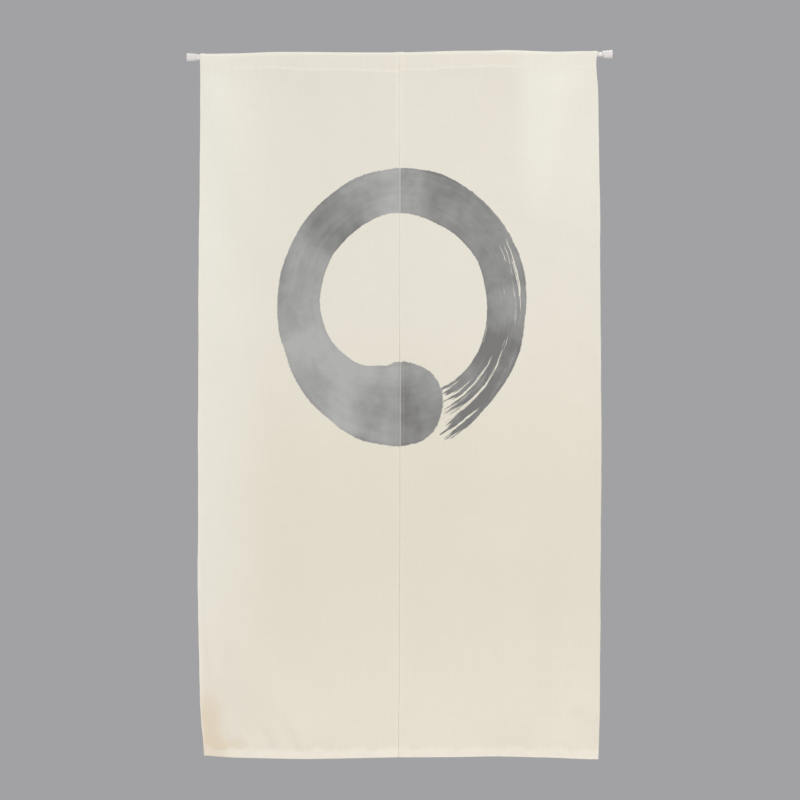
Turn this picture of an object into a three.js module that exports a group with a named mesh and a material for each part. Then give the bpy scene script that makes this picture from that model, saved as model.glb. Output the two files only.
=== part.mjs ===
import * as THREE from 'three';

// Driving dimensions in millimetres.
// The rod lies along X, the cloth hangs down -Z and its front faces -Y.
const clearance = 0.3;

const rod = {
  span: 905,
  slitFromLeftPad: 454.5,
  outerLength: 735,
  outerRadius: 6.5,
  innerLength: 620,
  innerRadius: 5,
  wall: 0.7,
  mouth: 12,
  rolledEdge: 0.4,
  sides: 24,
};

// The bevel at a cap's neck takes at most neckShare of its socket's wall.
const cap = {
  length: 20,
  padRadius: 9.3,
  neckRadius: 7.9,
  floor: 3,
  bevel: 0.8,
  neckShare: 0.6,
};

// flap is what the pocket's turned end reaches below its stitching, and pocketLift is
// the share of the pocket's rise that lifts it off the rod. Past the thick tube's mouth
// the pocket eases down on to the thin one between two distances.
const cloth = {
  height: 1500,
  sheet: 1.2,
  turnedIn: 1,
  sideHem: 9,
  bottomHem: 18,
  hemStep: 1.5,
  flap: 4.5,
  settleBelow: 95,
  pocketLift: 0.4,
  pastMouth: 6,
  easedPastMouth: 60,
  rows: 33,
  columnWidth: 31,
  pocketSteps: 10,
};

// Side edges of the whole curtain and its middle slit, down from the top edge.
// The two panels are sewn together down to the row where the gap opens.
const outline = [
  { below: 0, left: -425.4, slit: 0, gap: 0.3, right: 419 },
  { below: 24, left: -426.2, slit: 0, gap: 0.3, right: 416.5 },
  { below: 90, left: -425.3, slit: 0, gap: 0.3, right: 420.9 },
  { below: 208, left: -426.4, slit: 0, gap: 0.3, right: 422.2 },
  { below: 228, left: -426.6, slit: 0, gap: 0.5, right: 422.4 },
  { below: 360, left: -428.8, slit: 0, gap: 0.5, right: 424.4 },
  { below: 520, left: -429.7, slit: 0.1, gap: 0.5, right: 424.6 },
  { below: 780, left: -430.4, slit: 0.2, gap: 0.5, right: 426.8 },
  { below: 1040, left: -430.8, slit: 0.2, gap: 0.5, right: 426.6 },
  { below: 1120, left: -431.2, slit: -0.5, gap: 0.5, right: 425.3 },
  { below: 1260, left: -429.2, slit: -1.1, gap: 0.5, right: 425.1 },
  { below: 1370, left: -427.6, slit: -1.3, gap: 0.5, right: 423.7 },
  { below: 1430, left: -425, slit: -2.5, gap: 0.6, right: 422.4 },
  { below: 1465, left: -421.4, slit: -2.5, gap: 0.6, right: 421 },
  { below: 1510, left: -419.1, slit: -2.5, gap: 0.6, right: 419.8 },
];

// How far below the top edge the pocket is stitched, along X from the slit.
const pocketStitch = {
  left: [
    { x: -424, below: 28.5 },
    { x: -290, below: 28 },
    { x: -265, below: 27.5 },
    { x: -235, below: 29.5 },
    { x: -210, below: 32 },
    { x: -130, below: 32.6 },
    { x: -60, below: 35 },
    { x: -5, below: 37.5 },
  ],
  right: [
    { x: 5, below: 33.7 },
    { x: 70, below: 34 },
    { x: 95, below: 30.2 },
    { x: 145, below: 30 },
    { x: 180, below: 27.5 },
    { x: 250, below: 28.8 },
    { x: 300, below: 31.5 },
    { x: 350, below: 33.5 },
    { x: 400, below: 29 },
  ],
};

// How far the top of the pocket stands proud of the rod, along X from the slit.
const pocketRise = [
  { x: -424, rise: 0 },
  { x: -330, rise: 0.8 },
  { x: -265, rise: 2.8 },
  { x: -215, rise: 2.6 },
  { x: -110, rise: 0.9 },
  { x: 0, rise: 0 },
  { x: 50, rise: 0.7 },
  { x: 115, rise: 2.2 },
  { x: 190, rise: 2.4 },
  { x: 225, rise: 3.2 },
  { x: 262, rise: 2 },
  { x: 300, rise: 0.4 },
  { x: 340, rise: 0.6 },
  { x: 385, rise: 1.4 },
  { x: 420, rise: 1 },
];

// How far the bottom edge hangs below its mean height, along X from the slit.
const bottomDrop = [
  { x: -418, drop: 1 },
  { x: -360, drop: 3.4 },
  { x: -296, drop: 3.2 },
  { x: -210, drop: 2.6 },
  { x: -125, drop: 1.9 },
  { x: -40, drop: 1.9 },
  { x: 0, drop: 1.4 },
  { x: 44, drop: 0.3 },
  { x: 129, drop: -2.2 },
  { x: 214, drop: -4.8 },
  { x: 300, drop: -3.3 },
  { x: 385, drop: -1.5 },
  { x: 423, drop: -1.8 },
];

// Main folds: a soft ridge (forward above 0) or trough (below 0) along a line.
// Each runs from x, below to toX, toBelow and fades sideways over its reach.
const folds = [
  { panel: 'left', x: -392, below: 60, toX: -300, toBelow: 400, reach: 52, forward: 9 },
  { panel: 'left', x: -372, below: 50, toX: -312, toBelow: 125, reach: 20, forward: -3 },
  { panel: 'left', x: -225, below: 90, toX: -205, toBelow: 520, reach: 75, forward: -6 },
  { panel: 'left', x: -335, below: 620, toX: -322, toBelow: 1180, reach: 80, forward: 8 },
  { panel: 'left', x: -185, below: 820, toX: -160, toBelow: 1450, reach: 75, forward: 8 },
  { panel: 'left', x: -335, below: 1270, toX: -225, toBelow: 1450, reach: 60, forward: 9 },
  { panel: 'left', x: -440, below: 1400, toX: -405, toBelow: 1530, reach: 70, forward: -8 },
  { panel: 'left', x: 0, below: 700, toX: 0, toBelow: 1530, reach: 85, forward: -9 },
  { panel: 'both', x: 0, below: 40, toX: 0, toBelow: 420, reach: 55, forward: 5 },
  { panel: 'right', x: 232, below: 40, toX: 212, toBelow: 230, reach: 48, forward: -7 },
  { panel: 'right', x: 352, below: 50, toX: 302, toBelow: 340, reach: 46, forward: 10 },
  { panel: 'right', x: 362, below: 420, toX: 366, toBelow: 700, reach: 34, forward: -4 },
  { panel: 'right', x: 430, below: 330, toX: 432, toBelow: 860, reach: 40, forward: 6 },
  { panel: 'right', x: 150, below: 480, toX: 175, toBelow: 900, reach: 85, forward: 6 },
  { panel: 'right', x: 236, below: 1090, toX: 250, toBelow: 1410, reach: 80, forward: 11 },
  { panel: 'right', x: 0, below: 720, toX: 0, toBelow: 1530, reach: 90, forward: -8 },
  { panel: 'right', x: 350, below: 1200, toX: 345, toBelow: 1400, reach: 45, forward: -6 },
  { panel: 'right', x: 425, below: 1400, toX: 425, toBelow: 1530, reach: 60, forward: 9 },
];

const topHeight = rod.outerRadius + clearance + cloth.sheet;

const clothFinish = new THREE.MeshStandardMaterial({ color: 0xe5dfd1, roughness: 0.92, metalness: 0 });
const tubeFinish = new THREE.MeshStandardMaterial({ color: 0xe6e4e0, roughness: 0.38, metalness: 0 });
const capFinish = new THREE.MeshStandardMaterial({ color: 0xdedad8, roughness: 0.5, metalness: 0 });

// Slope of a table's column at one of its rows, level where it is flat or turns.
function slopeAt(table, key, column, row) {
  const before = table[Math.max(row - 1, 0)];
  const here = table[row];
  const after = table[Math.min(row + 1, table.length - 1)];
  const turns = (here[column] - before[column]) * (after[column] - here[column]) <= 0;
  return turns ? 0 : (after[column] - before[column]) / (after[key] - before[key]);
}

// Reads one column of a table at a place between its rows, as a smooth curve.
function follow(table, key, column, at) {
  const last = table.length - 1;
  const place = THREE.MathUtils.clamp(at, table[0][key], table[last][key]);
  let row = 0;
  while (row < last - 1 && place > table[row + 1][key]) row += 1;
  const from = table[row];
  const to = table[row + 1];
  const length = to[key] - from[key];
  const t = (place - from[key]) / length;
  const slopeIn = slopeAt(table, key, column, row);
  const slopeOut = slopeAt(table, key, column, row + 1);
  const straight = THREE.MathUtils.lerp(from[column], to[column], t * t * (3 - 2 * t));
  return straight + length * t * (1 - t) * ((1 - t) * slopeIn - t * slopeOut);
}

// Distance in the curtain's plane from a point to the line of one fold.
function distanceToFold(fold, x, below) {
  const alongX = fold.toX - fold.x;
  const alongBelow = fold.toBelow - fold.below;
  const dot = (x - fold.x) * alongX + (below - fold.below) * alongBelow;
  const t = THREE.MathUtils.clamp(dot / (alongX ** 2 + alongBelow ** 2), 0, 1);
  return Math.hypot(x - fold.x - t * alongX, below - fold.below - t * alongBelow);
}

function stitchBelow(side, x) {
  return follow(pocketStitch[side], 'x', 'below', x);
}

// Depth of the sheet's back face: folds stand forward, towards -Y.
function sheetDepth(side, x, below) {
  let forward = 0;
  for (const fold of folds) {
    if (fold.panel !== side && fold.panel !== 'both') continue;
    forward += fold.forward * Math.exp(-((distanceToFold(fold, x, below) / fold.reach) ** 2));
  }
  const settled = THREE.MathUtils.smoothstep(below, stitchBelow(side, x), cloth.settleBelow);
  return -forward * settled;
}

// Radius of the rod under the cloth, easing from the thick tube to the thin one.
function rodRadius(x) {
  const mouth = rod.outerLength - rod.slitFromLeftPad;
  const thinned = THREE.MathUtils.smoothstep(x, mouth + cloth.pastMouth, mouth + cloth.easedPastMouth);
  return THREE.MathUtils.lerp(rod.outerRadius, rod.innerRadius, thinned);
}

// Columns across a panel, with a thick and a thin one at the edge of each hem.
function panelColumns(width) {
  const inner = cloth.sideHem + cloth.hemStep;
  const columns = [
    { from: 0, hem: true },
    { from: cloth.sideHem, hem: true },
  ];
  const count = Math.round((width - 2 * inner) / cloth.columnWidth);
  for (let i = 0; i <= count; i += 1) {
    columns.push({ from: inner + ((width - 2 * inner) * i) / count, hem: false });
  }
  columns.push({ from: width - cloth.sideHem, hem: true });
  columns.push({ from: width, hem: true });
  return columns.map(({ from, hem }) => ({ share: from / width, hem }));
}

// Rows of the single sheet, from the bottom edge up to the end of the pocket's flap.
function sheetRows(flapBelow) {
  const hemTop = cloth.height - cloth.bottomHem;
  const start = hemTop - cloth.hemStep;
  const rows = [{ below: cloth.height, hem: true }, { below: hemTop, hem: true }];
  for (let i = 0; i <= cloth.rows; i += 1) {
    rows.push({ below: THREE.MathUtils.lerp(start, flapBelow, i / cloth.rows), hem: false });
  }
  return rows;
}

// Where a share of a panel's width lies, in X from the slit.
function acrossPanel(side, share, below) {
  const slit = follow(outline, 'below', 'slit', below);
  const half = follow(outline, 'below', 'gap', below) / 2;
  const outer = follow(outline, 'below', side, below);
  if (side === 'left') return THREE.MathUtils.lerp(outer, slit - half, share);
  return THREE.MathUtils.lerp(slit + half, outer, share);
}

// The pocket's loop round the rod: inside and outside [y, z] points, front to back.
// Where it stands proud, part of the rise lifts its centre and the rest widens it.
function pocketLoop(side, x) {
  const rise = follow(pocketRise, 'x', 'rise', x);
  const centre = cloth.pocketLift * rise;
  const radius = rodRadius(x) + clearance + rise - centre;
  const stitch = topHeight - stitchBelow(side, x);
  const lean = Math.asin(radius / (centre - stitch));
  const steps = cloth.pocketSteps;
  const turn = (Math.PI + 2 * lean) / steps;
  const spread = 1 / Math.cos(turn / 2);
  const inside = [];
  const outside = [];
  for (let i = 0; i <= steps; i += 1) {
    const angle = Math.PI + lean - turn * i;
    const y = spread * Math.cos(angle);
    const z = spread * Math.sin(angle);
    inside.push([radius * y, centre + radius * z]);
    outside.push([(radius + cloth.sheet) * y, centre + (radius + cloth.sheet) * z]);
  }
  return { inside, outside, stitch };
}

// One column of a panel as two closed loops of points: the skin and the pocket.
function panelSection(side, column) {
  const across = (below) => acrossPanel(side, column.share, below);
  const flapBelow = stitchBelow(side, across(0)) + cloth.flap;
  const sheetPoint = (below, offset) => {
    const x = across(below);
    const reach = (below - flapBelow) / (cloth.height - flapBelow);
    const drop = follow(bottomDrop, 'x', 'drop', x) * reach;
    return new THREE.Vector3(x, sheetDepth(side, x, below) + offset, topHeight - below - drop);
  };
  const pocketPoint = ([y, z]) => new THREE.Vector3(across(topHeight - z), y, z);
  const backOffset = (row) => (row.hem || column.hem ? cloth.turnedIn : 0);
  const rows = sheetRows(flapBelow);
  const pocket = pocketLoop(side, across(0));

  const skin = rows.map((row) => sheetPoint(row.below, -cloth.sheet));
  skin.push(pocketPoint([-cloth.sheet, pocket.stitch]));
  skin.push(...pocket.outside.map(pocketPoint));
  skin.push(pocketPoint([cloth.sheet, pocket.stitch]));
  skin.push(sheetPoint(flapBelow, cloth.sheet));
  skin.push(...rows.toReversed().map((row) => sheetPoint(row.below, backOffset(row))));

  const hollow = pocket.inside.toReversed().map(pocketPoint);
  hollow.push(pocketPoint([0, pocket.stitch]));
  return { skin, hollow, rows: rows.length };
}

// The triangles that close one end of a panel, facing along X: the hanging sheet row by
// row, then the outline of the pocket round its hollow.
function endTriangles({ skin, hollow, rows }, facing) {
  const points = [...skin, ...hollow].map((point) => new THREE.Vector2(point.y, point.z));
  const last = skin.length - 1;
  const triangles = [];
  for (let row = 0; row < rows - 1; row += 1) {
    const back = last - row;
    triangles.push([row, row + 1, back - 1], [row, back - 1, back]);
  }
  const corners = [...points.keys()];
  const pocket = corners.slice(rows - 1, last - rows + 2);
  const inside = corners.slice(skin.length);
  const around = [...pocket, ...inside];
  const outlines = [pocket, inside].map((loop) => loop.map((corner) => points[corner]));
  for (const triangle of THREE.ShapeUtils.triangulateShape(outlines[0], [outlines[1]])) {
    triangles.push(triangle.map((corner) => around[corner]));
  }
  return triangles.map((triangle) => {
    const area = THREE.ShapeUtils.area(triangle.map((corner) => points[corner]));
    return area * facing > 0 ? triangle : triangle.toReversed();
  });
}

// A panel: its columns joined side by side, closed at its two edges.
function panelGeometry(side) {
  const width = Math.abs(outline[0][side]);
  const sections = panelColumns(width).map((column) => panelSection(side, column));
  const { skin, hollow } = sections[0];
  const perSection = skin.length + hollow.length;
  const triangles = [];
  const joinLoops = (first, length, section) => {
    for (let i = 0; i < length; i += 1) {
      const a = section * perSection + first + i;
      const b = section * perSection + first + ((i + 1) % length);
      const c = b + perSection;
      const d = a + perSection;
      triangles.push([a, c, b], [a, d, c]);
    }
  };
  for (let section = 0; section < sections.length - 1; section += 1) {
    joinLoops(0, skin.length, section);
    joinLoops(skin.length, hollow.length, section);
  }
  triangles.push(...endTriangles(sections[0], -1));
  const lastBase = (sections.length - 1) * perSection;
  for (const corners of endTriangles(sections.at(-1), 1)) {
    triangles.push(corners.map((corner) => corner + lastBase));
  }
  const points = sections.flatMap((section) => [...section.skin, ...section.hollow]);
  const geometry = new THREE.BufferGeometry().setFromPoints(points);
  geometry.setIndex(triangles.flat());
  geometry.computeVertexNormals();
  return geometry;
}

// A turned piece lying along +X, from a profile of [radius, distance] pairs.
function turned(profile) {
  const points = profile.map(([radius, distance]) => new THREE.Vector2(radius, distance));
  const geometry = new THREE.LatheGeometry(points, rod.sides);
  return geometry.rotateZ(-Math.PI / 2);
}

// The thick tube, its mouth rolled in to guide the thin one.
function outerTubeGeometry() {
  const start = cap.floor + clearance;
  const end = rod.outerLength;
  const bore = rod.outerRadius - rod.wall;
  const guide = rod.innerRadius + clearance;
  return turned([
    [rod.outerRadius, start],
    [rod.outerRadius, end - rod.rolledEdge],
    [rod.outerRadius - rod.rolledEdge, end],
    [guide, end],
    [guide, end - rod.mouth],
    [bore, end - rod.mouth - rod.wall],
    [bore, start],
    [rod.outerRadius, start],
  ]);
}

function innerTubeGeometry() {
  const end = rod.span - cap.floor - clearance;
  const start = end - rod.innerLength;
  const bore = rod.innerRadius - rod.wall;
  return turned([
    [rod.innerRadius, start],
    [rod.innerRadius, end],
    [bore, end],
    [bore, start],
    [rod.innerRadius, start],
  ]);
}

// A flared cap: its flat pad at the start, its socket open towards the rod.
function capGeometry(tubeRadius) {
  const socket = tubeRadius + clearance;
  const neckBevel = Math.min(cap.bevel, cap.neckShare * (cap.neckRadius - socket));
  return turned([
    [0, 0],
    [cap.padRadius - cap.bevel, 0],
    [cap.padRadius, cap.bevel],
    [cap.neckRadius, cap.length - cap.bevel],
    [cap.neckRadius - neckBevel, cap.length],
    [socket, cap.length],
    [socket, cap.floor],
    [0, cap.floor],
  ]);
}

function named(name, geometry, material) {
  const mesh = new THREE.Mesh(geometry, material);
  mesh.name = name;
  return mesh;
}

const noren = new THREE.Group();
noren.add(named('rod_outer_tube', outerTubeGeometry(), tubeFinish));
noren.add(named('rod_inner_tube', innerTubeGeometry(), tubeFinish));
noren.add(named('left_end_cap', capGeometry(rod.outerRadius), capFinish));

const rightCap = named('right_end_cap', capGeometry(rod.innerRadius), capFinish);
rightCap.rotation.z = Math.PI;
rightCap.position.x = rod.span;
noren.add(rightCap);

const curtain = new THREE.Group();
curtain.add(named('left_panel', panelGeometry('left'), clothFinish));
curtain.add(named('right_panel', panelGeometry('right'), clothFinish));
curtain.position.x = rod.slitFromLeftPad;
noren.add(curtain);

export default noren;
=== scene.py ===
import math
from collections import namedtuple

import bpy
import numpy as np
from bpy.props import FloatProperty, FloatVectorProperty, IntProperty, PointerProperty
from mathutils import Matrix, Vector


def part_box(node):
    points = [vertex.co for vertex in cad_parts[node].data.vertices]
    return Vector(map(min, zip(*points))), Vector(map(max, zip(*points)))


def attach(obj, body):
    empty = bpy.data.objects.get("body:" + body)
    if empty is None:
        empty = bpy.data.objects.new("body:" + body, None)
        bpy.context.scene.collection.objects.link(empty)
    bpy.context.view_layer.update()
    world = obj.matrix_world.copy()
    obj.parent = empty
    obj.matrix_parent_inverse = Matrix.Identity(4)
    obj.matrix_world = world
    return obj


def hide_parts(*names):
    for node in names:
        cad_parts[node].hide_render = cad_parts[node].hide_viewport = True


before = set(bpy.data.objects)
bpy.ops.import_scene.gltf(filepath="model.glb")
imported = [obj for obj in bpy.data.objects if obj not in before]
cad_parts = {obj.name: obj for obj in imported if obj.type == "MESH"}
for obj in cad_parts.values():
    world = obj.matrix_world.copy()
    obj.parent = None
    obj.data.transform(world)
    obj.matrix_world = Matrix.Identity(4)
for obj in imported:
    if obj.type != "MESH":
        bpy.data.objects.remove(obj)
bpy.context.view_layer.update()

bl_info = {
    "name": "Noren curtain",
    "version": (1, 0, 0),
    "blender": (4, 5, 0),
    "location": "View3D > Sidebar > Noren",
    "description": "Split doorway curtain with an ink ring, hanging from its tension rod",
    "category": "Object",
}

# Lengths in the tables and the constants beside them are in millimetres, where no comment
# says metres. All other lengths are in metres.
MM = 0.001
ROOT = "root"

Outline = namedtuple("Outline", "below left slit gap right")
Stitch = namedtuple("Stitch", "x below")
Rise = namedtuple("Rise", "x rise")
Drop = namedtuple("Drop", "x drop")
Fold = namedtuple("Fold", "panel x below to_x to_below reach forward")
Wave = namedtuple("Wave", "length height phase")
Brush = namedtuple("Brush", "share outer width dark dry_outer dry_inner")
Hairs = namedtuple("Hairs", "across along place detail")
Ramp = namedtuple("Ramp", "low high start end", defaults=(0, 1))
Area = namedtuple("Area", "x z")
Light = namedtuple("Light", "name offset size power colour")

# Side edges of the whole curtain and its middle slit, down from the top edge.
OUTLINE = (
    Outline(0, -425.4, 0, 0.3, 419),
    Outline(24, -426.2, 0, 0.3, 416.5),
    Outline(90, -425.3, 0, 0.3, 420.9),
    Outline(208, -426.4, 0, 0.3, 422.2),
    Outline(228, -426.6, 0, 0.5, 422.4),
    Outline(360, -428.8, 0, 0.5, 424.4),
    Outline(520, -429.7, 0.1, 0.5, 424.6),
    Outline(780, -430.4, 0.2, 0.5, 426.8),
    Outline(1040, -430.8, 0.2, 0.5, 426.6),
    Outline(1120, -431.2, -0.5, 0.5, 425.3),
    Outline(1260, -429.2, -1.1, 0.5, 425.1),
    Outline(1370, -427.6, -1.3, 0.5, 423.7),
    Outline(1430, -425, -2.5, 0.6, 422.4),
    Outline(1465, -421.4, -2.5, 0.6, 421),
    Outline(1510, -419.1, -2.5, 0.6, 419.8),
)
SEAM_ROW = 3

# How far below the top edge the pocket is stitched, along X from the slit.
POCKET_STITCH = {
    "left": (
        Stitch(-424, 28.5),
        Stitch(-290, 28),
        Stitch(-265, 27.5),
        Stitch(-235, 29.5),
        Stitch(-210, 32),
        Stitch(-130, 32.6),
        Stitch(-60, 35),
        Stitch(-5, 37.5),
    ),
    "right": (
        Stitch(5, 33.7),
        Stitch(70, 34),
        Stitch(95, 30.2),
        Stitch(145, 30),
        Stitch(180, 27.5),
        Stitch(250, 28.8),
        Stitch(300, 31.5),
        Stitch(350, 33.5),
        Stitch(400, 29),
    ),
}

# How far the top of the pocket stands proud of the rod, along X from the slit.
POCKET_RISE = (
    Rise(-424, 0),
    Rise(-330, 0.8),
    Rise(-265, 2.8),
    Rise(-215, 2.6),
    Rise(-110, 0.9),
    Rise(0, 0),
    Rise(50, 0.7),
    Rise(115, 2.2),
    Rise(190, 2.4),
    Rise(225, 3.2),
    Rise(262, 2),
    Rise(300, 0.4),
    Rise(340, 0.6),
    Rise(385, 1.4),
    Rise(420, 1),
)

# How far the bottom edge hangs below its mean height, along X from the slit.
BOTTOM_DROP = (
    Drop(-418, 1),
    Drop(-360, 3.4),
    Drop(-296, 3.2),
    Drop(-210, 2.6),
    Drop(-125, 1.9),
    Drop(-40, 1.9),
    Drop(0, 1.4),
    Drop(44, 0.3),
    Drop(129, -2.2),
    Drop(214, -4.8),
    Drop(300, -3.3),
    Drop(385, -1.5),
    Drop(423, -1.8),
)

# Main folds: a soft ridge (forward above 0) or trough (below 0) along a line.
FOLDS = (
    Fold("left", -392, 60, -300, 400, 52, 9),
    Fold("left", -372, 50, -312, 125, 20, -3),
    Fold("left", -225, 90, -205, 520, 75, -6),
    Fold("left", -335, 620, -322, 1180, 80, 8),
    Fold("left", -185, 820, -160, 1450, 75, 8),
    Fold("left", -335, 1270, -225, 1450, 60, 9),
    Fold("left", -440, 1400, -405, 1530, 70, -8),
    Fold("left", 0, 700, 0, 1530, 85, -9),
    Fold("both", 0, 40, 0, 420, 55, 5),
    Fold("right", 232, 40, 212, 230, 48, -7),
    Fold("right", 352, 50, 302, 340, 46, 10),
    Fold("right", 362, 420, 366, 700, 34, -4),
    Fold("right", 430, 330, 432, 860, 40, 6),
    Fold("right", 150, 480, 175, 900, 85, 6),
    Fold("right", 236, 1090, 250, 1410, 80, 11),
    Fold("right", 0, 720, 0, 1530, 90, -8),
    Fold("right", 350, 1200, 345, 1400, 45, -6),
    Fold("right", 425, 1400, 425, 1530, 60, 9),
)

# Small creases that lie on the main folds.
CREASES = (
    Fold("left", -376, 1452, -352, 1480, 10, -2.4),
    Fold("left", -336, 1452, -316, 1478, 8, 1.5),
    Fold("left", -290, 1448, -276, 1480, 10, -2.2),
    Fold("left", -254, 1420, -222, 1478, 13, -2.2),
    Fold("left", -48, 1432, -21, 1474, 13, -1.9),
    Fold("left", -418, 1180, -396, 1330, 16, 1.5),
    Fold("left", -270, 40, -258, 96, 12, 1.3),
    Fold("left", -208, 42, -214, 110, 13, -1.2),
    Fold("right", 90, 984, 190, 1000, 14, -0.9),
    Fold("right", 139, 52, 171, 123, 13, 1.9),
    Fold("right", 282, 44, 262, 108, 13, 1.4),
    Fold("right", 383, 1385, 420, 1424, 19, 2.2),
)

# Gathers along a line of stitching, as waves of unequal length.
POCKET_PUCKERS = (Wave(17, 0.22, 0.4), Wave(27, 0.3, 2.1), Wave(43, 0.26, 4.4))
HEM_PUCKERS = (Wave(31, 0.22, 1.3), Wave(47, 0.3, 3.2), Wave(83, 0.4, 5.1))
EDGE_WAVES = (Wave(61, 0.12, 0.8), Wave(143, 0.22, 2.6), Wave(310, 0.3, 4.9))

# How far the gathers reach from their line, and how strong they are beside the slit.
POCKET_PUCKER_REACH = 15
SIDE_PUCKER_REACH = 9
BOTTOM_PUCKER_REACH = 13
SLIT_PUCKERS = 0.3

# Shifts in metres along the waves, so that no two edges are alike.
SIDE_SHIFT = 0.37
BOTTOM_SHIFT = 0.21
EDGE_SHIFT = 0.19

# Where the mesh's rows and columns lie at a turned edge, in a side hem, past it, in the
# bottom hem and over it, as shares, and near the pocket's stitching.
TURN_STEPS = (0.75, 0.5, 0.25)
SIDE_HEM_STEPS = (0.14, 0.3, 0.55)
PAST_HEM_STEPS = (1, 2.3)
BOTTOM_HEM_STEPS = (0.05, 0.2, 0.42, 0.66)
FIRST_ROW_OVER_HEM = 1.12
NEAR_POCKET = (24, 20.5, 17, 14, 11, 8.5, 6, 4.5, 3, 1.5, 0)

# Rows up the pocket's front, round the rod, and down its back.
POCKET_FRONT_STEPS = (0.08, 0.18, 0.3, 0.45, 0.62, 0.8)
POCKET_ROUND_ROWS = 23
POCKET_BACK_STEPS = (0.2, 0.4, 0.6, 0.8, 0.9, 1)

# How much of the doubled tone the parts of a panel show. The seam's folds, the left panel's outer rim and the
# bottom fold take it as painted highlight.
FLAP_TONE = 0.7
POCKET_TONE = 0.3
SEAM_FOLD_HIGHLIGHT = 0.9
SLIT_HEM_TONE = 0.25
OUTER_RIM_HIGHLIGHT = 0.6
BOTTOM_FOLD_HIGHLIGHT = 0.7
BOTTOM_HEM_TONE = {"left": 0.8, "right": 0.55}

# Half width of the slit between the panels' outlines, which their rounded edges close.
SLIT_HALF = 0.2

# How far a side's turned edge is drawn in, as a share of what would keep all its
# thickness within the panel's outline. The rest lets the two panels meet at the slit.
FOLD_INSET = 0.72

# The ring's one brush stroke from head to tail: share is how far along it lies, outer
# and width are shares of the ring's half width, dark is how dense the ink is, and the
# dry ones are the share left bare.
BRUSH = (
    Brush(0.00, 1.000, 0.600, 0.80, 0.00, 0.00),
    Brush(0.06, 1.005, 0.550, 0.33, 0.00, 0.00),
    Brush(0.14, 0.998, 0.440, 0.12, 0.00, 0.00),
    Brush(0.27, 1.000, 0.345, 0.24, 0.00, 0.00),
    Brush(0.34, 0.996, 0.338, 0.30, 0.00, 0.00),
    Brush(0.40, 0.992, 0.335, 0.76, 0.00, 0.00),
    Brush(0.45, 0.987, 0.328, 0.54, 0.00, 0.00),
    Brush(0.50, 0.985, 0.325, 0.18, 0.00, 0.00),
    Brush(0.57, 0.990, 0.335, 0.50, 0.00, 0.00),
    Brush(0.66, 1.000, 0.335, 0.86, 0.12, 0.00),
    Brush(0.76, 0.995, 0.312, 0.50, 0.50, 0.04),
    Brush(0.86, 0.988, 0.300, 0.98, 0.34, 0.36),
    Brush(0.93, 0.996, 0.315, 0.86, 0.38, 0.42),
    Brush(0.97, 1.016, 0.350, 0.90, 0.50, 0.62),
    Brush(1.00, 1.045, 0.400, 0.92, 0.80, 0.95),
)


def metres(name, description, default):
    """A size in metres."""
    return FloatProperty(name=name, description=description, default=default, unit="LENGTH", precision=4)


def fraction(name, description, default):
    """A share, which has no unit."""
    return FloatProperty(name=name, description=description, default=default, subtype="FACTOR")


def whole_number(name, description, default):
    """A number of things."""
    return IntProperty(name=name, description=description, default=default)


def tint(name, description, default):
    """A linear colour."""
    return FloatVectorProperty(
        name=name, description=description, default=default, subtype="COLOR", size=3, min=0, max=1
    )


class NorenCloth(bpy.types.PropertyGroup):
    """Sizes and colours of the two cloth panels."""

    slit_x: metres("Slit", "Distance of the middle slit from the left pad", 454.5 * MM)
    top: metres("Top edge", "Height of the top edge over the rod's axis", 8 * MM)
    height: metres("Height", "Length of the hanging cloth", 1500 * MM)
    front: metres("Front face", "How far the flat sheet's middle lies before the rod's axis", 0.6 * MM)
    thickness: metres("Thickness", "Thickness of the woven sheet", 0.5 * MM)
    layer_gap: metres("Layer spacing", "Distance between the middles of two layers", 0.7 * MM)
    side_hem: metres("Side hem", "Width of each side hem", 9 * MM)
    bottom_hem: metres("Bottom hem", "Width of the bottom hem", 18 * MM)
    hem_stitch: metres("Hem stitching", "Distance of the stitching from a hem's turned end", 1.5 * MM)
    flap: metres("Flap", "What the pocket's turned end reaches below its stitching", 4.5 * MM)
    settle: metres("Settling", "Depth below the top edge where the folds are at full height", 95 * MM)
    pocket_room: metres("Pocket room", "Room between the rod and the middle of the sheet", 0.65 * MM)
    pocket_lift: fraction("Pocket lift", "Share of the pocket's rise that lifts it", 0.4)
    column_spacing: metres("Columns", "Distance between the mesh's columns", 4.3 * MM)
    row_spacing: metres("Rows", "Distance between the mesh's rows", 7 * MM)
    thread_pitch: metres("Thread pitch", "Distance between two threads of the weave", 0.95 * MM)
    colour: tint("Cloth", "Unbleached off-white of the cloth", (0.774, 0.741, 0.648))
    middle_colour: tint("Cloth, middle", "Slightly darker tone below the ring", (0.753, 0.710, 0.598))
    low_colour: tint("Cloth, low", "Slightly warmer tone near the bottom", (0.802, 0.749, 0.639))
    # Painted light: a paler tone on the left edge and the top right.
    painted_light_colour: tint("Cloth, pale", "Painted light on the left edge and top right", (0.843, 0.822, 0.738))
    side_hem_tone: fraction("Side hem tone", "How much of the doubled tone a side hem shows", 0.35)
    doubled_colour: tint("Cloth, doubled", "Tone where the cloth lies double", (0.855, 0.814, 0.715))
    low_doubled_colour: tint("Bottom hem", "Tone of the bottom hem", (0.893, 0.836, 0.734))
    thread_colour: tint("Sewing thread", "Colour of the sewing thread", (0.83, 0.80, 0.72))


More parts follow.
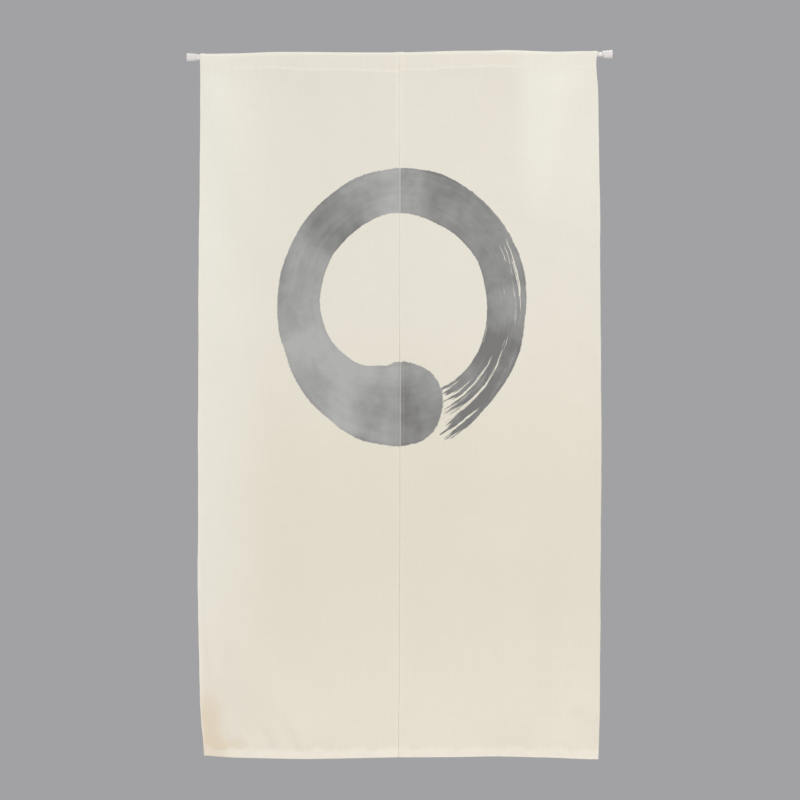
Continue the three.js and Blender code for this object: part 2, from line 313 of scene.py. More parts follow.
class NorenRing(bpy.types.PropertyGroup):
    """Sizes and colours of the brushed ink ring."""

    centre_x: metres("Centre, X", "The ring's centre from the slit", 4.3 * MM)
    centre_below: metres("Centre, below", "The ring's centre below the top edge", 540 * MM)
    width: metres("Width", "Width of the ring", 526 * MM)
    height: metres("Height", "Height of the ring", 593 * MM)
    head: fraction("Head", "Where the stroke starts, in turns clockwise from the bottom", -0.007)
    span: fraction("Span", "Share of a full turn that the stroke takes", 0.957)
    light_ink: tint("Thin ink", "Grey of the thinned ink", (0.418, 0.423, 0.410))
    dark_ink: tint("Dense ink", "Grey of the denser ink", (0.180, 0.178, 0.175))
    show_through: fraction("Show-through", "How much of the ink shows on the back", 0.3)


class NorenStitching(bpy.types.PropertyGroup):
    """Sizes of the sewing."""

    pitch: metres("Pitch", "Length of one machine stitch with its gap", 2.8 * MM)
    thread: metres("Thread", "Thickness of the sewing thread", 0.26 * MM)
    seam_pitch: metres("Seam pitch", "Distance between two stitches of the middle seam", 3.1 * MM)
    tack_width: metres("Tack width", "Width of the bar tack at the top of the slit", 6.5 * MM)
    tack_stitches: whole_number("Tack stitches", "Number of stitches in the bar tack", 7)


class NorenRod(bpy.types.PropertyGroup):
    """Sizes and colours of the tension rod."""

    span: metres("Span", "Length of the rod over its pads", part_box("right_end_cap")[1].x)
    thick_end: metres("Thick tube's end", "Where the thick tube's mouth lies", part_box("rod_outer_tube")[1].x)
    thin_start: metres("Thin tube's start", "Where the thin tube starts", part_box("rod_inner_tube")[0].x)
    thick_radius: metres("Thick tube", "Radius of the thick tube", 6.5 * MM)
    thin_radius: metres("Thin tube", "Radius of the thin tube", 5 * MM)
    wall: metres("Wall", "Thickness of the tubes", 0.7 * MM)
    rolled_edge: metres("Rolled edge", "Rounding of the thick tube's mouth", 0.6 * MM)
    past_mouth: metres("Past the mouth", "Where the cloth leaves the thick tube", 6 * MM)
    eased: metres("Eased", "Where the cloth has come down on the thin tube", 60 * MM)
    clearance: metres("Clearance", "Room between the tubes and the caps", 0.3 * MM)
    cap_length: metres("Cap", "Length of an end cap", 20 * MM)
    cap_floor: metres("Cap floor", "Thickness of a cap's closed end", 3 * MM)
    pad_radius: metres("Pad", "Radius of a cap at its pad", 9.3 * MM)
    neck_radius: metres("Neck", "Radius of a cap at its neck", 7.9 * MM)
    sides: whole_number("Sides", "Facets round the rod", 64)
    tube_colour: tint("Tube", "White coating of the tubes", (0.78, 0.765, 0.735))
    cap_colour: tint("Caps", "Faintly rosy white of the caps", (0.735, 0.705, 0.69))


class NorenStage(bpy.types.PropertyGroup):
    """Camera, floor and lights."""

    centre_x: metres("Aim, X", "Where the camera aims, from the left pad", 455.2 * MM)
    centre_below: metres("Aim, below", "Height at which the camera aims, below the rod", 731.8 * MM)
    distance: metres("Distance", "Distance of the camera", 3.2)
    azimuth: FloatProperty(
        name="Azimuth",
        description="Angle of the camera to the right",
        default=math.radians(1.8),
        subtype="ANGLE",
    )
    lens: FloatProperty(name="Lens", description="Focal length", default=67.70, unit="CAMERA")
    floor_below: metres("Floor", "How far the floor lies below the rod", 2.0)
    floor_radius: metres("Floor radius", "Radius of the round floor", 1.5)
    floor_colour: tint("Floor colour", "Pale grey", (0.72, 0.71, 0.69))
    backdrop: tint("Surroundings", "Soft grey all round", (0.36, 0.36, 0.37))


def slopes(places, values):
    """Slope of a table's column at each of its rows, level where it is flat or turns."""
    before = np.concatenate((values[:1], values[:-1]))
    after = np.concatenate((values[1:], values[-1:]))
    place_before = np.concatenate((places[:1], places[:-1]))
    place_after = np.concatenate((places[1:], places[-1:]))
    turns = (values - before) * (after - values) <= 0
    return np.where(turns, 0, (after - before) / (place_after - place_before))


def follow(table, key, column, at):
    """Reads a table's column at places between its rows, as a smooth curve."""
    places = np.array([getattr(row, key) for row in table], float) * MM
    values = np.array([getattr(row, column) for row in table], float) * MM
    at = np.clip(at, places[0], places[-1])
    row = np.clip(np.searchsorted(places, at) - 1, 0, len(places) - 2)
    length = places[row + 1] - places[row]
    t = (at - places[row]) / length
    slope = slopes(places, values)
    straight = values[row] + (values[row + 1] - values[row]) * t * t * (3 - 2 * t)
    return straight + length * t * (1 - t) * ((1 - t) * slope[row] - t * slope[row + 1])


def smoothstep(value, low, high):
    t = np.clip((value - low) / (high - low), 0, 1)
    return t * t * (3 - 2 * t)


def waves(table, at):
    """A sum of waves of unequal length, which never quite repeats."""
    turn = 2 * math.pi
    return sum(wave.height * MM * np.sin(turn * at / (wave.length * MM) + wave.phase) for wave in table)


def fold_share(fold, x, below):
    """How much of a fold's height a point has, from its distance to the fold's line."""
    along_x = (fold.to_x - fold.x) * MM
    along_below = (fold.to_below - fold.below) * MM
    from_x = x - fold.x * MM
    from_below = below - fold.below * MM
    t = np.clip((from_x * along_x + from_below * along_below) / (along_x**2 + along_below**2), 0, 1)
    distance = np.hypot(from_x - t * along_x, from_below - t * along_below)
    return np.exp(-((distance / (fold.reach * MM)) ** 2))


def across(side, share, below):
    """Where a share of a panel's width lies, in X from the slit."""
    slit = follow(OUTLINE, "below", "slit", below)
    half = np.minimum(follow(OUTLINE, "below", "gap", below) / 2, SLIT_HALF * MM)
    outer = follow(OUTLINE, "below", side, below)
    if side == "left":
        return outer + (slit - half - outer) * share
    return slit + half + (outer - slit - half) * share


def rod_radius(rod, cloth, x):
    """Radius of the rod under the cloth, easing from the thick tube to the thin one."""
    mouth = rod.thick_end - cloth.slit_x
    thinned = smoothstep(x, mouth + rod.past_mouth, mouth + rod.eased)
    return rod.thick_radius + (rod.thin_radius - rod.thick_radius) * thinned


class Columns:
    """The mesh's columns across a panel: turned hem, fold, front, fold, turned hem.

    place is the distance from the panel's left edge, turned is 0 on the front layer and
    1 on a hem's turned layer, outward is the side of a fold, and flat_x is the place in
    the flat cloth, from the slit.
    """

    def __init__(self, side, cloth):
        self.width = abs(getattr(OUTLINE[0], side)) * MM
        hem = cloth.side_hem
        stitch = hem - cloth.hem_stitch
        inset = FOLD_INSET * (cloth.layer_gap + cloth.thickness) / 2
        near = np.array(SIDE_HEM_STEPS) * stitch
        within = np.concatenate((near, [stitch, hem]))
        beyond = hem + cloth.hem_stitch * np.array(PAST_HEM_STEPS)
        count = round((self.width - 2 * beyond[-1]) / cloth.column_spacing)
        middle = np.linspace(beyond[-1], self.width - beyond[-1], count + 1)[1:-1]
        rising = np.concatenate((within, beyond))
        fold = np.array(TURN_STEPS)
        front = np.concatenate((rising, middle, self.width - rising[::-1]))
        folds = np.full(len(fold), inset)
        self.place = np.concatenate((within[::-1], folds, front, self.width - folds, self.width - within))
        ones = np.ones(len(within))
        self.turned = np.concatenate((ones, fold, np.zeros(len(front)), fold[::-1], ones))
        middle_of = self.width / 2
        self.outward = np.where(self.place < middle_of, -1.0, 1.0)
        first_edge = len(within) + 1
        last_edge = len(self.place) - 2 - len(within)
        start = -self.width if side == "left" else 0.0
        flat = self.place.copy()
        flat[: first_edge + 1] *= -1
        flat[last_edge:] = 2 * self.width - flat[last_edge:]
        self.flat_x = start + flat
        reach = np.minimum(self.place, self.width - self.place)
        self.zone = 1 - smoothstep(reach, hem, beyond[0])
        self.hem_lines = {
            "left_turned": 1,
            "left_front": len(within) + len(fold) + 3,
            "right_front": len(self.place) - 1 - (len(within) + len(fold) + 3),
            "right_turned": len(self.place) - 2,
        }

    def front_column(self, edge, number):
        """Index of the front column that lies number columns in from an edge."""
        first = int(np.argmax(self.turned == 0))
        last = len(self.turned) - 1 - int(np.argmax(self.turned[::-1] == 0))
        return first + number if edge == "left" else last - number

    def turned_column(self, edge, number):
        """Index of the turned column that lies number columns in from an edge."""
        first_fold = int(np.argmax(self.turned < 1))
        last_fold = len(self.turned) - 1 - int(np.argmax(self.turned[::-1] < 1))
        return first_fold - 1 - number if edge == "left" else last_fold + 1 + number


class Panel:
    """One panel's points in rows and columns, from the bottom hem's turned end up the
    front, over the rod and down to the end of the flap."""

    def __init__(self, side, cloth, rod):
        self.side, self.cloth, self.rod = side, cloth, rod
        self.columns = Columns(side, cloth)
        columns = self.columns
        self.share = columns.place / columns.width
        self.from_slit = self.share if side == "right" else 1 - self.share
        x_top = across(side, self.share, 0 * self.share)
        self.stitch = follow(POCKET_STITCH[side], "x", "below", x_top)
        self.turn = (1 - np.cos(math.pi * columns.turned)) / 2
        self.bulge = columns.outward * np.sin(math.pi * columns.turned) * cloth.layer_gap / 2

        below, folded = self.sheet_rows()
        points, flat_z = self.sheet_points(below, folded)
        loop = self.pocket_points()
        flap_below = self.stitch + cloth.flap * np.array([1, 2, 3])[:, None] / 3
        flap, _ = self.sheet_points(flap_below, np.ones(len(flap_below)))
        self.rows = {
            "hem_turned": 1,
            "hem_front": int(np.argmax(folded == 0)) + len(self.hem_heights) - 2,
            "above_hem": int(np.argmax(folded == 0)) + len(self.hem_heights),
            "pocket_front": len(below) - 1,
            "pocket_back": len(below) - 1 + len(loop),
        }
        self.points = np.concatenate((points, loop, flap))
        self.flat_z = self.flat_heights(flat_z, loop, flap)
        self.double = self.doubling_and_highlights(below, len(loop), flap_below)
        self.folded = np.concatenate((folded, np.zeros(len(loop)), np.ones(len(flap))))

    def sheet_rows(self):
        """How far below the top each row up to the pocket's stitching lies, and how far
        it is turned up as the hem's back layer."""
        cloth = self.cloth
        width = cloth.bottom_hem
        self.hem_heights = np.array([*BOTTOM_HEM_STEPS, 1 - cloth.hem_stitch / width, 1]) * width
        even = np.ones(len(self.stitch))
        turned = [(cloth.height - h) * even for h in self.hem_heights[::-1]]
        fold = [cloth.height * even] * len(TURN_STEPS)
        front = [(cloth.height - h) * even for h in self.hem_heights]
        start = cloth.height - width * FIRST_ROW_OVER_HEM
        end = self.stitch + NEAR_POCKET[0] * MM
        count = round((start - float(np.mean(end))) / cloth.row_spacing)
        middle = [start + (end - start) * i / count for i in range(count)]
        near = [self.stitch + distance * MM for distance in NEAR_POCKET]
        below = np.array(turned + fold + front + middle + near)
        folded = np.zeros(len(below))
        folded[: len(turned)] = 1
        folded[len(turned) : len(turned) + len(fold)] = TURN_STEPS
        return below, folded

    def forward(self, x, below):
        """How far the sheet stands forward of its flat place."""
        folds = [f for f in FOLDS + CREASES if f.panel in (self.side, "both")]
        total = sum(f.forward * MM * fold_share(f, x, below) for f in folds)
        total = total * smoothstep(below, self.stitch, self.cloth.settle)
        from_stitch = below - self.stitch
        pocket = waves(POCKET_PUCKERS, x) * np.exp(-from_stitch / (POCKET_PUCKER_REACH * MM))
        reach = np.minimum(self.columns.place, self.columns.width - self.columns.place)
        at_hem = np.exp(-(((reach - self.cloth.side_hem) / (SIDE_PUCKER_REACH * MM)) ** 2))
        at_hem = at_hem * np.where(self.from_slit > 0.5, 1, SLIT_PUCKERS)
        hem = waves(HEM_PUCKERS, below + SIDE_SHIFT * self.columns.outward) * at_hem
        from_bottom = self.cloth.height - below - self.cloth.bottom_hem
        at_bottom = np.exp(-((from_bottom / (BOTTOM_PUCKER_REACH * MM)) ** 2))
        bottom = waves(HEM_PUCKERS, 1.3 * x + BOTTOM_SHIFT) * at_bottom
        return total + pocket + (hem + bottom) * smoothstep(from_stitch, 0, 30 * MM)

    def sheet_points(self, below, folded):
        """Points of the hanging sheet, and their heights in the flat cloth."""
        cloth, zone, turn = self.cloth, self.columns.zone, self.turn
        folded = np.asarray(folded, float)[:, None]
        up = (1 - np.cos(math.pi * folded)) / 2
        stack = 1 + 2 * zone - 2 * turn
        x = across(self.side, self.share, below)
        outer_edge = np.clip(2 * self.from_slit - 1, 0, 1) ** 8
        outer_edge = smoothstep(below, self.stitch, cloth.settle) * outer_edge
        x = x + waves(EDGE_WAVES, below + EDGE_SHIFT * self.columns.outward) * outer_edge + self.bulge
        y = -cloth.front - self.forward(x, below) + cloth.layer_gap * (up * stack + turn)
        flap = self.stitch + cloth.flap
        reach = np.clip((below - flap) / (cloth.height - flap), 0, 1)
        drop = follow(BOTTOM_DROP, "x", "drop", x) * reach
        sag = np.sin(math.pi * folded) * cloth.layer_gap / 2
        z = cloth.top - below - drop - sag
        flat_z = np.where(folded > 0.5, below - 2 * cloth.height, -below)
        return np.stack((x, y, z), -1), flat_z

    def pocket_points(self):
        """Points of the pocket's loop from the front stitching to the back one: straight
        up to the rod, round it, and straight down."""
        cloth, zone, turn = self.cloth, self.columns.zone, self.turn
        x_top = across(self.side, self.share, 0 * self.share)
        rise = follow(POCKET_RISE, "x", "rise", x_top)
        centre = cloth.pocket_lift * rise
        radius = rod_radius(self.rod, cloth, x_top) + cloth.pocket_room + rise - centre
        radius = radius + cloth.layer_gap * (zone - turn)
        z_stitch = cloth.top - self.stitch
        y_front = -cloth.front + cloth.layer_gap * turn - waves(POCKET_PUCKERS, x_top)
        y_back = -cloth.front + cloth.layer_gap * (1 + 2 * zone - turn) - waves(POCKET_PUCKERS, x_top)
        depth = z_stitch - centre
        lean_front = np.arccos(radius / np.hypot(y_front, depth))
        lean_back = np.arccos(radius / np.hypot(y_back, depth))
        start = np.arctan2(depth, y_front) - lean_front + 2 * math.pi
        end = np.arctan2(depth, y_back) + lean_back

        def on_rod(angle):
            return radius * np.cos(angle), centre + radius * np.sin(angle)

        rows = []
        y_from, z_from = on_rod(start)
        for t in POCKET_FRONT_STEPS:
            slack = waves(POCKET_PUCKERS, x_top) * t * (1 - t) * (1 - t)
            rows.append((y_front + (y_from - y_front) * t - slack, z_stitch + (z_from - z_stitch) * t))
        for t in np.linspace(0, 1, POCKET_ROUND_ROWS):
            rows.append(on_rod(start + (end - start) * t))
        y_to, z_to = on_rod(end)
        for t in POCKET_BACK_STEPS:
            rows.append((y_to + (y_back - y_to) * t, z_to + (z_stitch - z_to) * t))
        y = np.array([row[0] for row in rows])
        z = np.array([row[1] for row in rows])
        x = across(self.side, self.share, cloth.top - z) + self.bulge
        return np.stack((x, y, z), -1)

    def flat_heights(self, sheet_z, loop, flap):
        """Heights in the flat cloth, carried on along the pocket's loop and its flap."""
        around = np.concatenate((self.points[len(sheet_z) - 1 : len(sheet_z)], loop, flap))
        steps = np.linalg.norm(np.diff(around[..., 1:], axis=0), axis=-1)
        return np.concatenate((sheet_z, sheet_z[-1] + np.cumsum(steps, axis=0)))

    def doubling_and_highlights(self, below, loop_rows, flap_below):
        """How much of the doubled tone each point has: most in the bottom hem, less in the pocket, least in
        the side hems. There is also painted highlight in the same tone along the left panel's outer rim, the
        bottom fold and the folds at the seam."""
        cloth = self.cloth
        x = across(self.side, self.share, below)
        hem_top = cloth.height - cloth.bottom_hem + 4 * waves(HEM_PUCKERS, x)
        hem = smoothstep(below, hem_top - 5 * MM, hem_top + 3 * MM)
        flap_end = self.stitch + cloth.flap
        flap = FLAP_TONE * (1 - smoothstep(below, flap_end, flap_end + 2 * MM))
        flap = flap * smoothstep(below, self.stitch - 4 * MM, self.stitch + MM)
        sewn = 1 - smoothstep(below, 180 * MM, 215 * MM)
        at_slit = SLIT_HEM_TONE + (1 - SLIT_HEM_TONE) * sewn
        at_outside = 1.0 if self.side == "left" else 0.0
        turned = self.columns.turned
        side = cloth.side_hem_tone * self.columns.zone * np.where(self.from_slit > 0.5, at_outside, at_slit)
        # Painted light on the folds beside the slit where the panels are sewn, which lightens the shade in the
        # seam's crack.
        painted_fold_light = 4 * turned * (1 - turned) * (self.from_slit < 0.5)
        side = side + SEAM_FOLD_HIGHLIGHT * sewn * painted_fold_light
        from_outside = (1 - self.from_slit) * self.columns.width
        # Painted highlight: a bright strip along the left panel's outer edge.
        rim = OUTER_RIM_HIGHLIGHT * at_outside * (1 - smoothstep(from_outside, 1.5 * MM, 4.5 * MM))
        # Painted highlight along the bottom fold.
        painted_bottom_highlight = BOTTOM_FOLD_HIGHLIGHT * (1 - smoothstep(cloth.height - below, 0.5 * MM, 3.5 * MM))
        sheet = BOTTOM_HEM_TONE[self.side] * hem + flap + side + rim + painted_bottom_highlight
        around = np.ones((loop_rows + len(flap_below), 1)) * (POCKET_TONE + side[-1:] + rim)
        return np.clip(np.concatenate((sheet, around)), 0, 1)

    def normals(self):
        """Unit vectors out of the cloth's right side at each point."""
        along_rows = np.gradient(self.points, axis=0)
        along_columns = np.gradient(self.points, axis=1)
        normal = np.cross(along_columns, along_rows)
        return normal / np.linalg.norm(normal, axis=-1, keepdims=True)


def make_piece(name, points, faces, materials):
    """A smooth mesh piece, which rides on the part's one body."""
    mesh = bpy.data.meshes.new(name)
    mesh.from_pydata(points, [], faces)
    mesh.shade_smooth()
    for material in materials:
        mesh.materials.append(material)
    piece = bpy.data.objects.new(name, mesh)
    bpy.context.scene.collection.objects.link(piece)
    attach(piece, ROOT)
    return piece


def write_values(mesh, name, kind, values):
    """Keeps a value or vector at each point of a mesh, for its material."""
    field = {"FLOAT": "value", "FLOAT_VECTOR": "vector"}[kind]
    attribute = mesh.attributes.new(name, kind, "POINT")
    attribute.data.foreach_set(field, np.ascontiguousarray(values, np.float32).ravel())


def grid_faces(rows, columns):
    """Faces of a grid of points, facing out of the cloth's right side."""
    first = np.arange(rows - 1)[:, None] * columns + np.arange(columns - 1)
    return np.stack((first, first + 1, first + columns + 1, first + columns), -1).reshape(-1, 4).tolist()


def make_panel(side, cloth, rod, materials):
    """A panel as one sheet with its hems and its pocket turned and lying double."""
    panel = Panel(side, cloth, rod)
    rows, columns = panel.points.shape[:2]
    places = panel.points + (cloth.slit_x, 0, 0)
    name = f"{side}_cloth"
    piece = make_piece(name, places.reshape(-1, 3).tolist(), grid_faces(rows, columns), materials)
    flat_x = np.broadcast_to(panel.columns.flat_x, (rows, columns))
    flat = np.stack((flat_x, np.zeros((rows, columns)), panel.flat_z), -1)
    turned = np.maximum(panel.columns.turned, panel.folded[:, None])
    write_values(piece.data, "flat", "FLOAT_VECTOR", flat)
    # The doubled tone also carries the painted highlights along the rims and the seam's folds.
    write_values(piece.data, "doubled", "FLOAT", panel.double)
    write_values(piece.data, "turned", "FLOAT", turned)
    shell = piece.modifiers.new("Cloth", "SOLIDIFY")
    shell.thickness = cloth.thickness
    shell.offset = 0
    shell.material_offset = 1
    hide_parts(f"{side}_panel")
    return piece


# Each stitch is a thread that dips into the cloth at both ends: how far along it, how
# thick and how high over the cloth it is, in shares of its length and thickness.
STITCH_RINGS = ((0.16, 0.42, 0.18), (0.5, 0.5, 0.42), (0.84, 0.42, 0.18))
STITCH_SIDES = 4
STITCH_DIP = 0.3

# A machine stitch starts and ends a little inside its share of the line, and strays
# sideways. The seam's stitches slant, and those of the bar tack lie nearly side by side.
STITCH_START = 0.1
STITCH_LENGTH = 0.8
STITCH_STRAY = 0.09
SEAM_SLANT = 0.35
TACK_SPACING = 1.1


def stitch_mesh(starts, ends, normals, thickness):
    """Points and faces of many stitches, each a small closed bow of thread."""
    count = len(starts)
    along = ends - starts
    sideways = np.cross(along, normals)
    sideways /= np.linalg.norm(sideways, axis=1, keepdims=True)
    parts = [starts - normals * thickness * STITCH_DIP]
    for share, radius, lift in STITCH_RINGS:
        centre = starts + along * share + normals * thickness * lift
        for i in range(STITCH_SIDES):
            angle = 2 * math.pi * (i + 0.5) / STITCH_SIDES
            arm = sideways * math.cos(angle) + normals * math.sin(angle)
            parts.append(centre + arm * radius * thickness)
    parts.append(ends - normals * thickness * STITCH_DIP)
    per_stitch = len(parts)
    points = np.stack(parts, 1).reshape(-1, 3)
    last = per_stitch - 1
    template = []
    for i in range(STITCH_SIDES):
        after = (i + 1) % STITCH_SIDES
        template.append((0, 1 + after, 1 + i))
        for ring in range(len(STITCH_RINGS) - 1):
            low = 1 + ring * STITCH_SIDES
            high = low + STITCH_SIDES
            template.append((low + i, low + after, high + after, high + i))
        high = 1 + (len(STITCH_RINGS) - 1) * STITCH_SIDES
        template.append((last, high + i, high + after))
    faces = [tuple(corner + per_stitch * n for corner in face) for n in range(count) for face in template]
    return points, faces


def along_path(points, normals, distances):
    """Points and normals at distances along a line of points."""
    steps = np.linalg.norm(np.diff(points, axis=0), axis=1)
    reached = np.concatenate(([0], np.cumsum(steps)))
    place = np.stack([np.interp(distances, reached, points[:, i]) for i in range(3)], 1)
    normal = np.stack([np.interp(distances, reached, normals[:, i]) for i in range(3)], 1)
    return place, normal / np.linalg.norm(normal, axis=1, keepdims=True)


def path_length(points):
    return float(np.linalg.norm(np.diff(points, axis=0), axis=1).sum())


def line_of_stitches(points, normals, stitching, cloth, rng):
    """Start, end and normal of each machine stitch along a line on the cloth."""
    count = int(path_length(points) / stitching.pitch)
    starts = (np.arange(count) + STITCH_START) * stitching.pitch
    start, normal = along_path(points, normals, starts)
    end, _ = along_path(points, normals, starts + STITCH_LENGTH * stitching.pitch)
    sideways = np.cross(end - start, normal)
    sideways /= np.linalg.norm(sideways, axis=1, keepdims=True)
    stray = rng.uniform(-STITCH_STRAY * MM, STITCH_STRAY * MM, (2, count, 1))
    out = normal * cloth.thickness / 2
    return start + out + sideways * stray[0], end + out + sideways * stray[1], normal


def panel_stitch_lines(panel):
    """The points and normals of every line of stitching on a panel."""
    points, normals = panel.points, panel.normals()
    rows, lines = panel.rows, panel.columns.hem_lines
    paths = []
    for edge in ("left", "right"):
        front = lines[f"{edge}_front"]
        turned = lines[f"{edge}_turned"]
        paths.append((points[:, front], normals[:, front]))
        hanging = slice(rows["above_hem"], rows["pocket_front"] - 2)
        paths.append((points[hanging, turned], normals[hanging, turned]))
    front = slice(panel.columns.front_column("left", 0), panel.columns.front_column("right", 0) + 1)
    for row in ("hem_turned", "hem_front", "pocket_front", "pocket_back"):
        paths.append((points[rows[row], front], normals[rows[row], front]))
    return paths


def thread_piece(name, stitches, cloth, stitching, material):
    """A piece of many stitches, from their starts, ends and normals beside the slit."""
    points, faces = stitch_mesh(*stitches, stitching.thread)
    return make_piece(name, (points + (cloth.slit_x, 0, 0)).tolist(), faces, [material])


def make_stitching(side, cloth, rod, stitching, material):
    """The machine stitching of a panel's hems and pocket, front and back."""
    panel = Panel(side, cloth, rod)
    rng = np.random.default_rng(11 if side == "left" else 12)
    lines = [line_of_stitches(*path, stitching, cloth, rng) for path in panel_stitch_lines(panel)]
    stitches = [np.concatenate(parts) for parts in zip(*lines)]
    return thread_piece(f"{side}_stitching", stitches, cloth, stitching, material)


def seam_paths(panels, layer):
    """The same stretch of both panels' edges along the seam, on the front or the back."""
    paths = []
    for side, edge in (("left", "right"), ("right", "left")):
        panel = panels[side]
        columns = panel.columns
        column = columns.front_column(edge, 1) if layer == "front" else columns.turned_column(edge, 1)
        points = panel.points[:, column]
        end_of_seam = panel.cloth.top - OUTLINE[SEAM_ROW].below * MM
        last = len(points) if layer == "front" else panel.rows["pocket_front"] - 2
        upper = np.arange(len(points))
        kept = (points[:, 2] > end_of_seam) & (upper > panel.rows["above_hem"]) & (upper < last)
        paths.append((points[kept], panel.normals()[:, column][kept]))
    return paths


def make_seam(cloth, rod, stitching, material):
    """Slanting stitches that join the two panels, and the bar tack that ends them."""
    panels = {side: Panel(side, cloth, rod) for side in ("left", "right")}
    out = cloth.thickness / 2
    rows = []
    for layer in ("front", "back"):
        (left, left_normal), (right, right_normal) = seam_paths(panels, layer)
        length = min(path_length(left), path_length(right)) - stitching.seam_pitch
        distances = np.arange(0.5 * stitching.seam_pitch, length, stitching.seam_pitch)
        start, normal = along_path(left, left_normal, distances)
        end, end_normal = along_path(right, right_normal, distances + SEAM_SLANT * stitching.seam_pitch)
        rows.append((start + normal * out, end + end_normal * out, normal))
    rows += bar_tack(panels, stitching, out)
    stitches = [np.concatenate(parts) for parts in zip(*rows)]
    return thread_piece("seam_stitching", stitches, cloth, stitching, material)


def bar_tack(panels, stitching, out):
    """Close level stitches across the seam's lower end, front and back."""
    rows = []
    distances = np.arange(stitching.tack_stitches) * stitching.thread * TACK_SPACING
    half = stitching.tack_width / 2
    for layer in ("front", "back"):
        (left, left_normal), (right, right_normal) = seam_paths(panels, layer)
        start, normal = along_path(left, left_normal, distances)
        end, end_normal = along_path(right, right_normal, distances)
        level = (start[:, 2] + end[:, 2]) / 2
        start[:, 0], start[:, 2] = -half, level
        end[:, 0], end[:, 2] = half, level
        rows.append((start + normal * out, end + end_normal * out, normal))
    return rows


# A turned piece has a sharp edge where its profile bends by more than this.
SHARP_ANGLE = math.radians(38)

# Places along a cap's taper between its rim and its lip, and how quickly it narrows.
CAP_STEPS = (0.12, 0.26, 0.42, 0.6, 0.8)
CAP_FLARE = 1.6


def turned_piece(name, profile, rod, replaced, material):
    """A piece turned about the rod's axis from a closed profile of (x, radius) pairs."""
    profile = np.array(profile)
    on_axis = profile[:, 1] < 1e-7
    points, rings = [], []
    for (x, radius), single in zip(profile, on_axis):
        count = 1 if single else rod.sides
        angles = 2 * math.pi * np.arange(count) / count
        rings.append(len(points) + np.arange(count))
        points += [(x, radius * math.cos(a), radius * math.sin(a)) for a in angles]
    faces = []
    closed = not on_axis.any()
    for n in range(len(rings) if closed else len(rings) - 1):
        ring, following = rings[n], rings[(n + 1) % len(rings)]
        for i in range(rod.sides):
            a, b = ring[i % len(ring)], ring[(i + 1) % len(ring)]
            c, d = following[(i + 1) % len(following)], following[i % len(following)]
            corners = list(dict.fromkeys(int(corner) for corner in (a, b, c, d)))
            faces.append(tuple(corners))
    piece = make_piece(name, points, faces, [material])
    piece.data.set_sharp_from_angle(angle=SHARP_ANGLE)
    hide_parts(replaced)
    return piece


def arc(centre_x, centre_radius, size, start, end, steps=6):
    """Points of a rounded corner of a profile, angles in quarter turns from +X."""
    angles = [math.pi / 2 * (start + (end - start) * i / steps) for i in range(steps + 1)]
    return [(centre_x + size * math.cos(a), centre_radius + size * math.sin(a)) for a in angles]


def thick_tube_profile(rod):
    """The thick tube from its cap to its mouth, which is rolled in round the thin one."""
    start = rod.cap_floor + rod.clearance
    bore = rod.thick_radius - rod.wall
    guide = rod.thin_radius + rod.clearance
    roll = rod.rolled_edge
    mouth = arc(rod.thick_end - roll, rod.thick_radius - roll, roll, 1, 0)
    collar = 12 * MM
    return [
        (start, rod.thick_radius),
        *mouth,
        (rod.thick_end, guide),
        (rod.thick_end - collar, guide),
        (rod.thick_end - collar - rod.wall, bore),
        (start, bore),
    ]


def thin_tube_profile(rod):
    end = rod.span - rod.cap_floor - rod.clearance
    bore = rod.thin_radius - rod.wall
    return [(rod.thin_start, rod.thin_radius), (end, rod.thin_radius), (end, bore), (rod.thin_start, bore)]


def cap_profile(rod, tube_radius, end, inward):
    """A flared cap from its flat pad inward: a rounded rim, a soft taper and a neck."""
    rim = 1.1 * MM
    lip = min(0.7 * MM, 0.45 * (rod.neck_radius - tube_radius - rod.clearance))
    socket = tube_radius + rod.clearance
    outline = [(0, 0), (0, rod.pad_radius - rim)]
    outline += [(rim - x, r) for x, r in arc(0, rod.pad_radius - rim, rim, 0, 1)]
    for t in CAP_STEPS:
        taper = (1 - t) ** CAP_FLARE
        x = rim + (rod.cap_length - rim - lip) * t
        outline.append((x, rod.neck_radius + (rod.pad_radius - rod.neck_radius) * taper))
    outline += arc(rod.cap_length - lip, rod.neck_radius - lip, lip, 1, 0)
    outline += [(rod.cap_length, socket), (rod.cap_floor, socket), (rod.cap_floor, 0)]
    return [(end + inward * x, r) for x, r in outline]


# Threads of the weave: how far they wander, how round they are, how far one rises over
# the other, and how slowly the shade of their slubs changes along them.
THREAD_WANDER = 1.6
THREAD_ROUNDNESS = 0.7
THREAD_CROSSING = 0.28
SLUB_SQUEEZE = 0.045

# Where the cloth's tone changes, in metres right of the slit and above the top edge of
# the flat cloth, with how strong the change is at both ends.
MIDDLE_PART = Ramp(-0.5, -0.95)
LOW_PART = Ramp(-1.05, -1.45)
# Painted light: the cloth is paler at the left and at the top right.
PAINTED_LIGHT_LEFT = Area(Ramp(-0.24, -0.42), Ramp(-0.55, -0.3, 0.6, 0.8))
PAINTED_LIGHT_LEFT_END = Ramp(-1.0, -1.45, 1, 0.3)
PAINTED_LIGHT_RIGHT = Area(Ramp(0.22, 0.29, 0, 0.7), Ramp(-0.5, -0.15))
PAINTED_LIGHT_RIGHT_END = Ramp(0.44, 0.31, 0.6, 1)
# A warmer, darker patch at the lower left corner, and painted shade just above the bottom hem to its right.
WARM_CORNER_PATCH = Area(Ramp(-0.36, -0.405, 0, 0.9), Ramp(-1.33, -1.42))
PAINTED_HEM_SHADE = Area(Ramp(-0.30, -0.37, 0, 0.6), Ramp(-1.45, -1.475))
PATCH_AND_SHADE_COLOUR = (0.755, 0.655, 0.505)

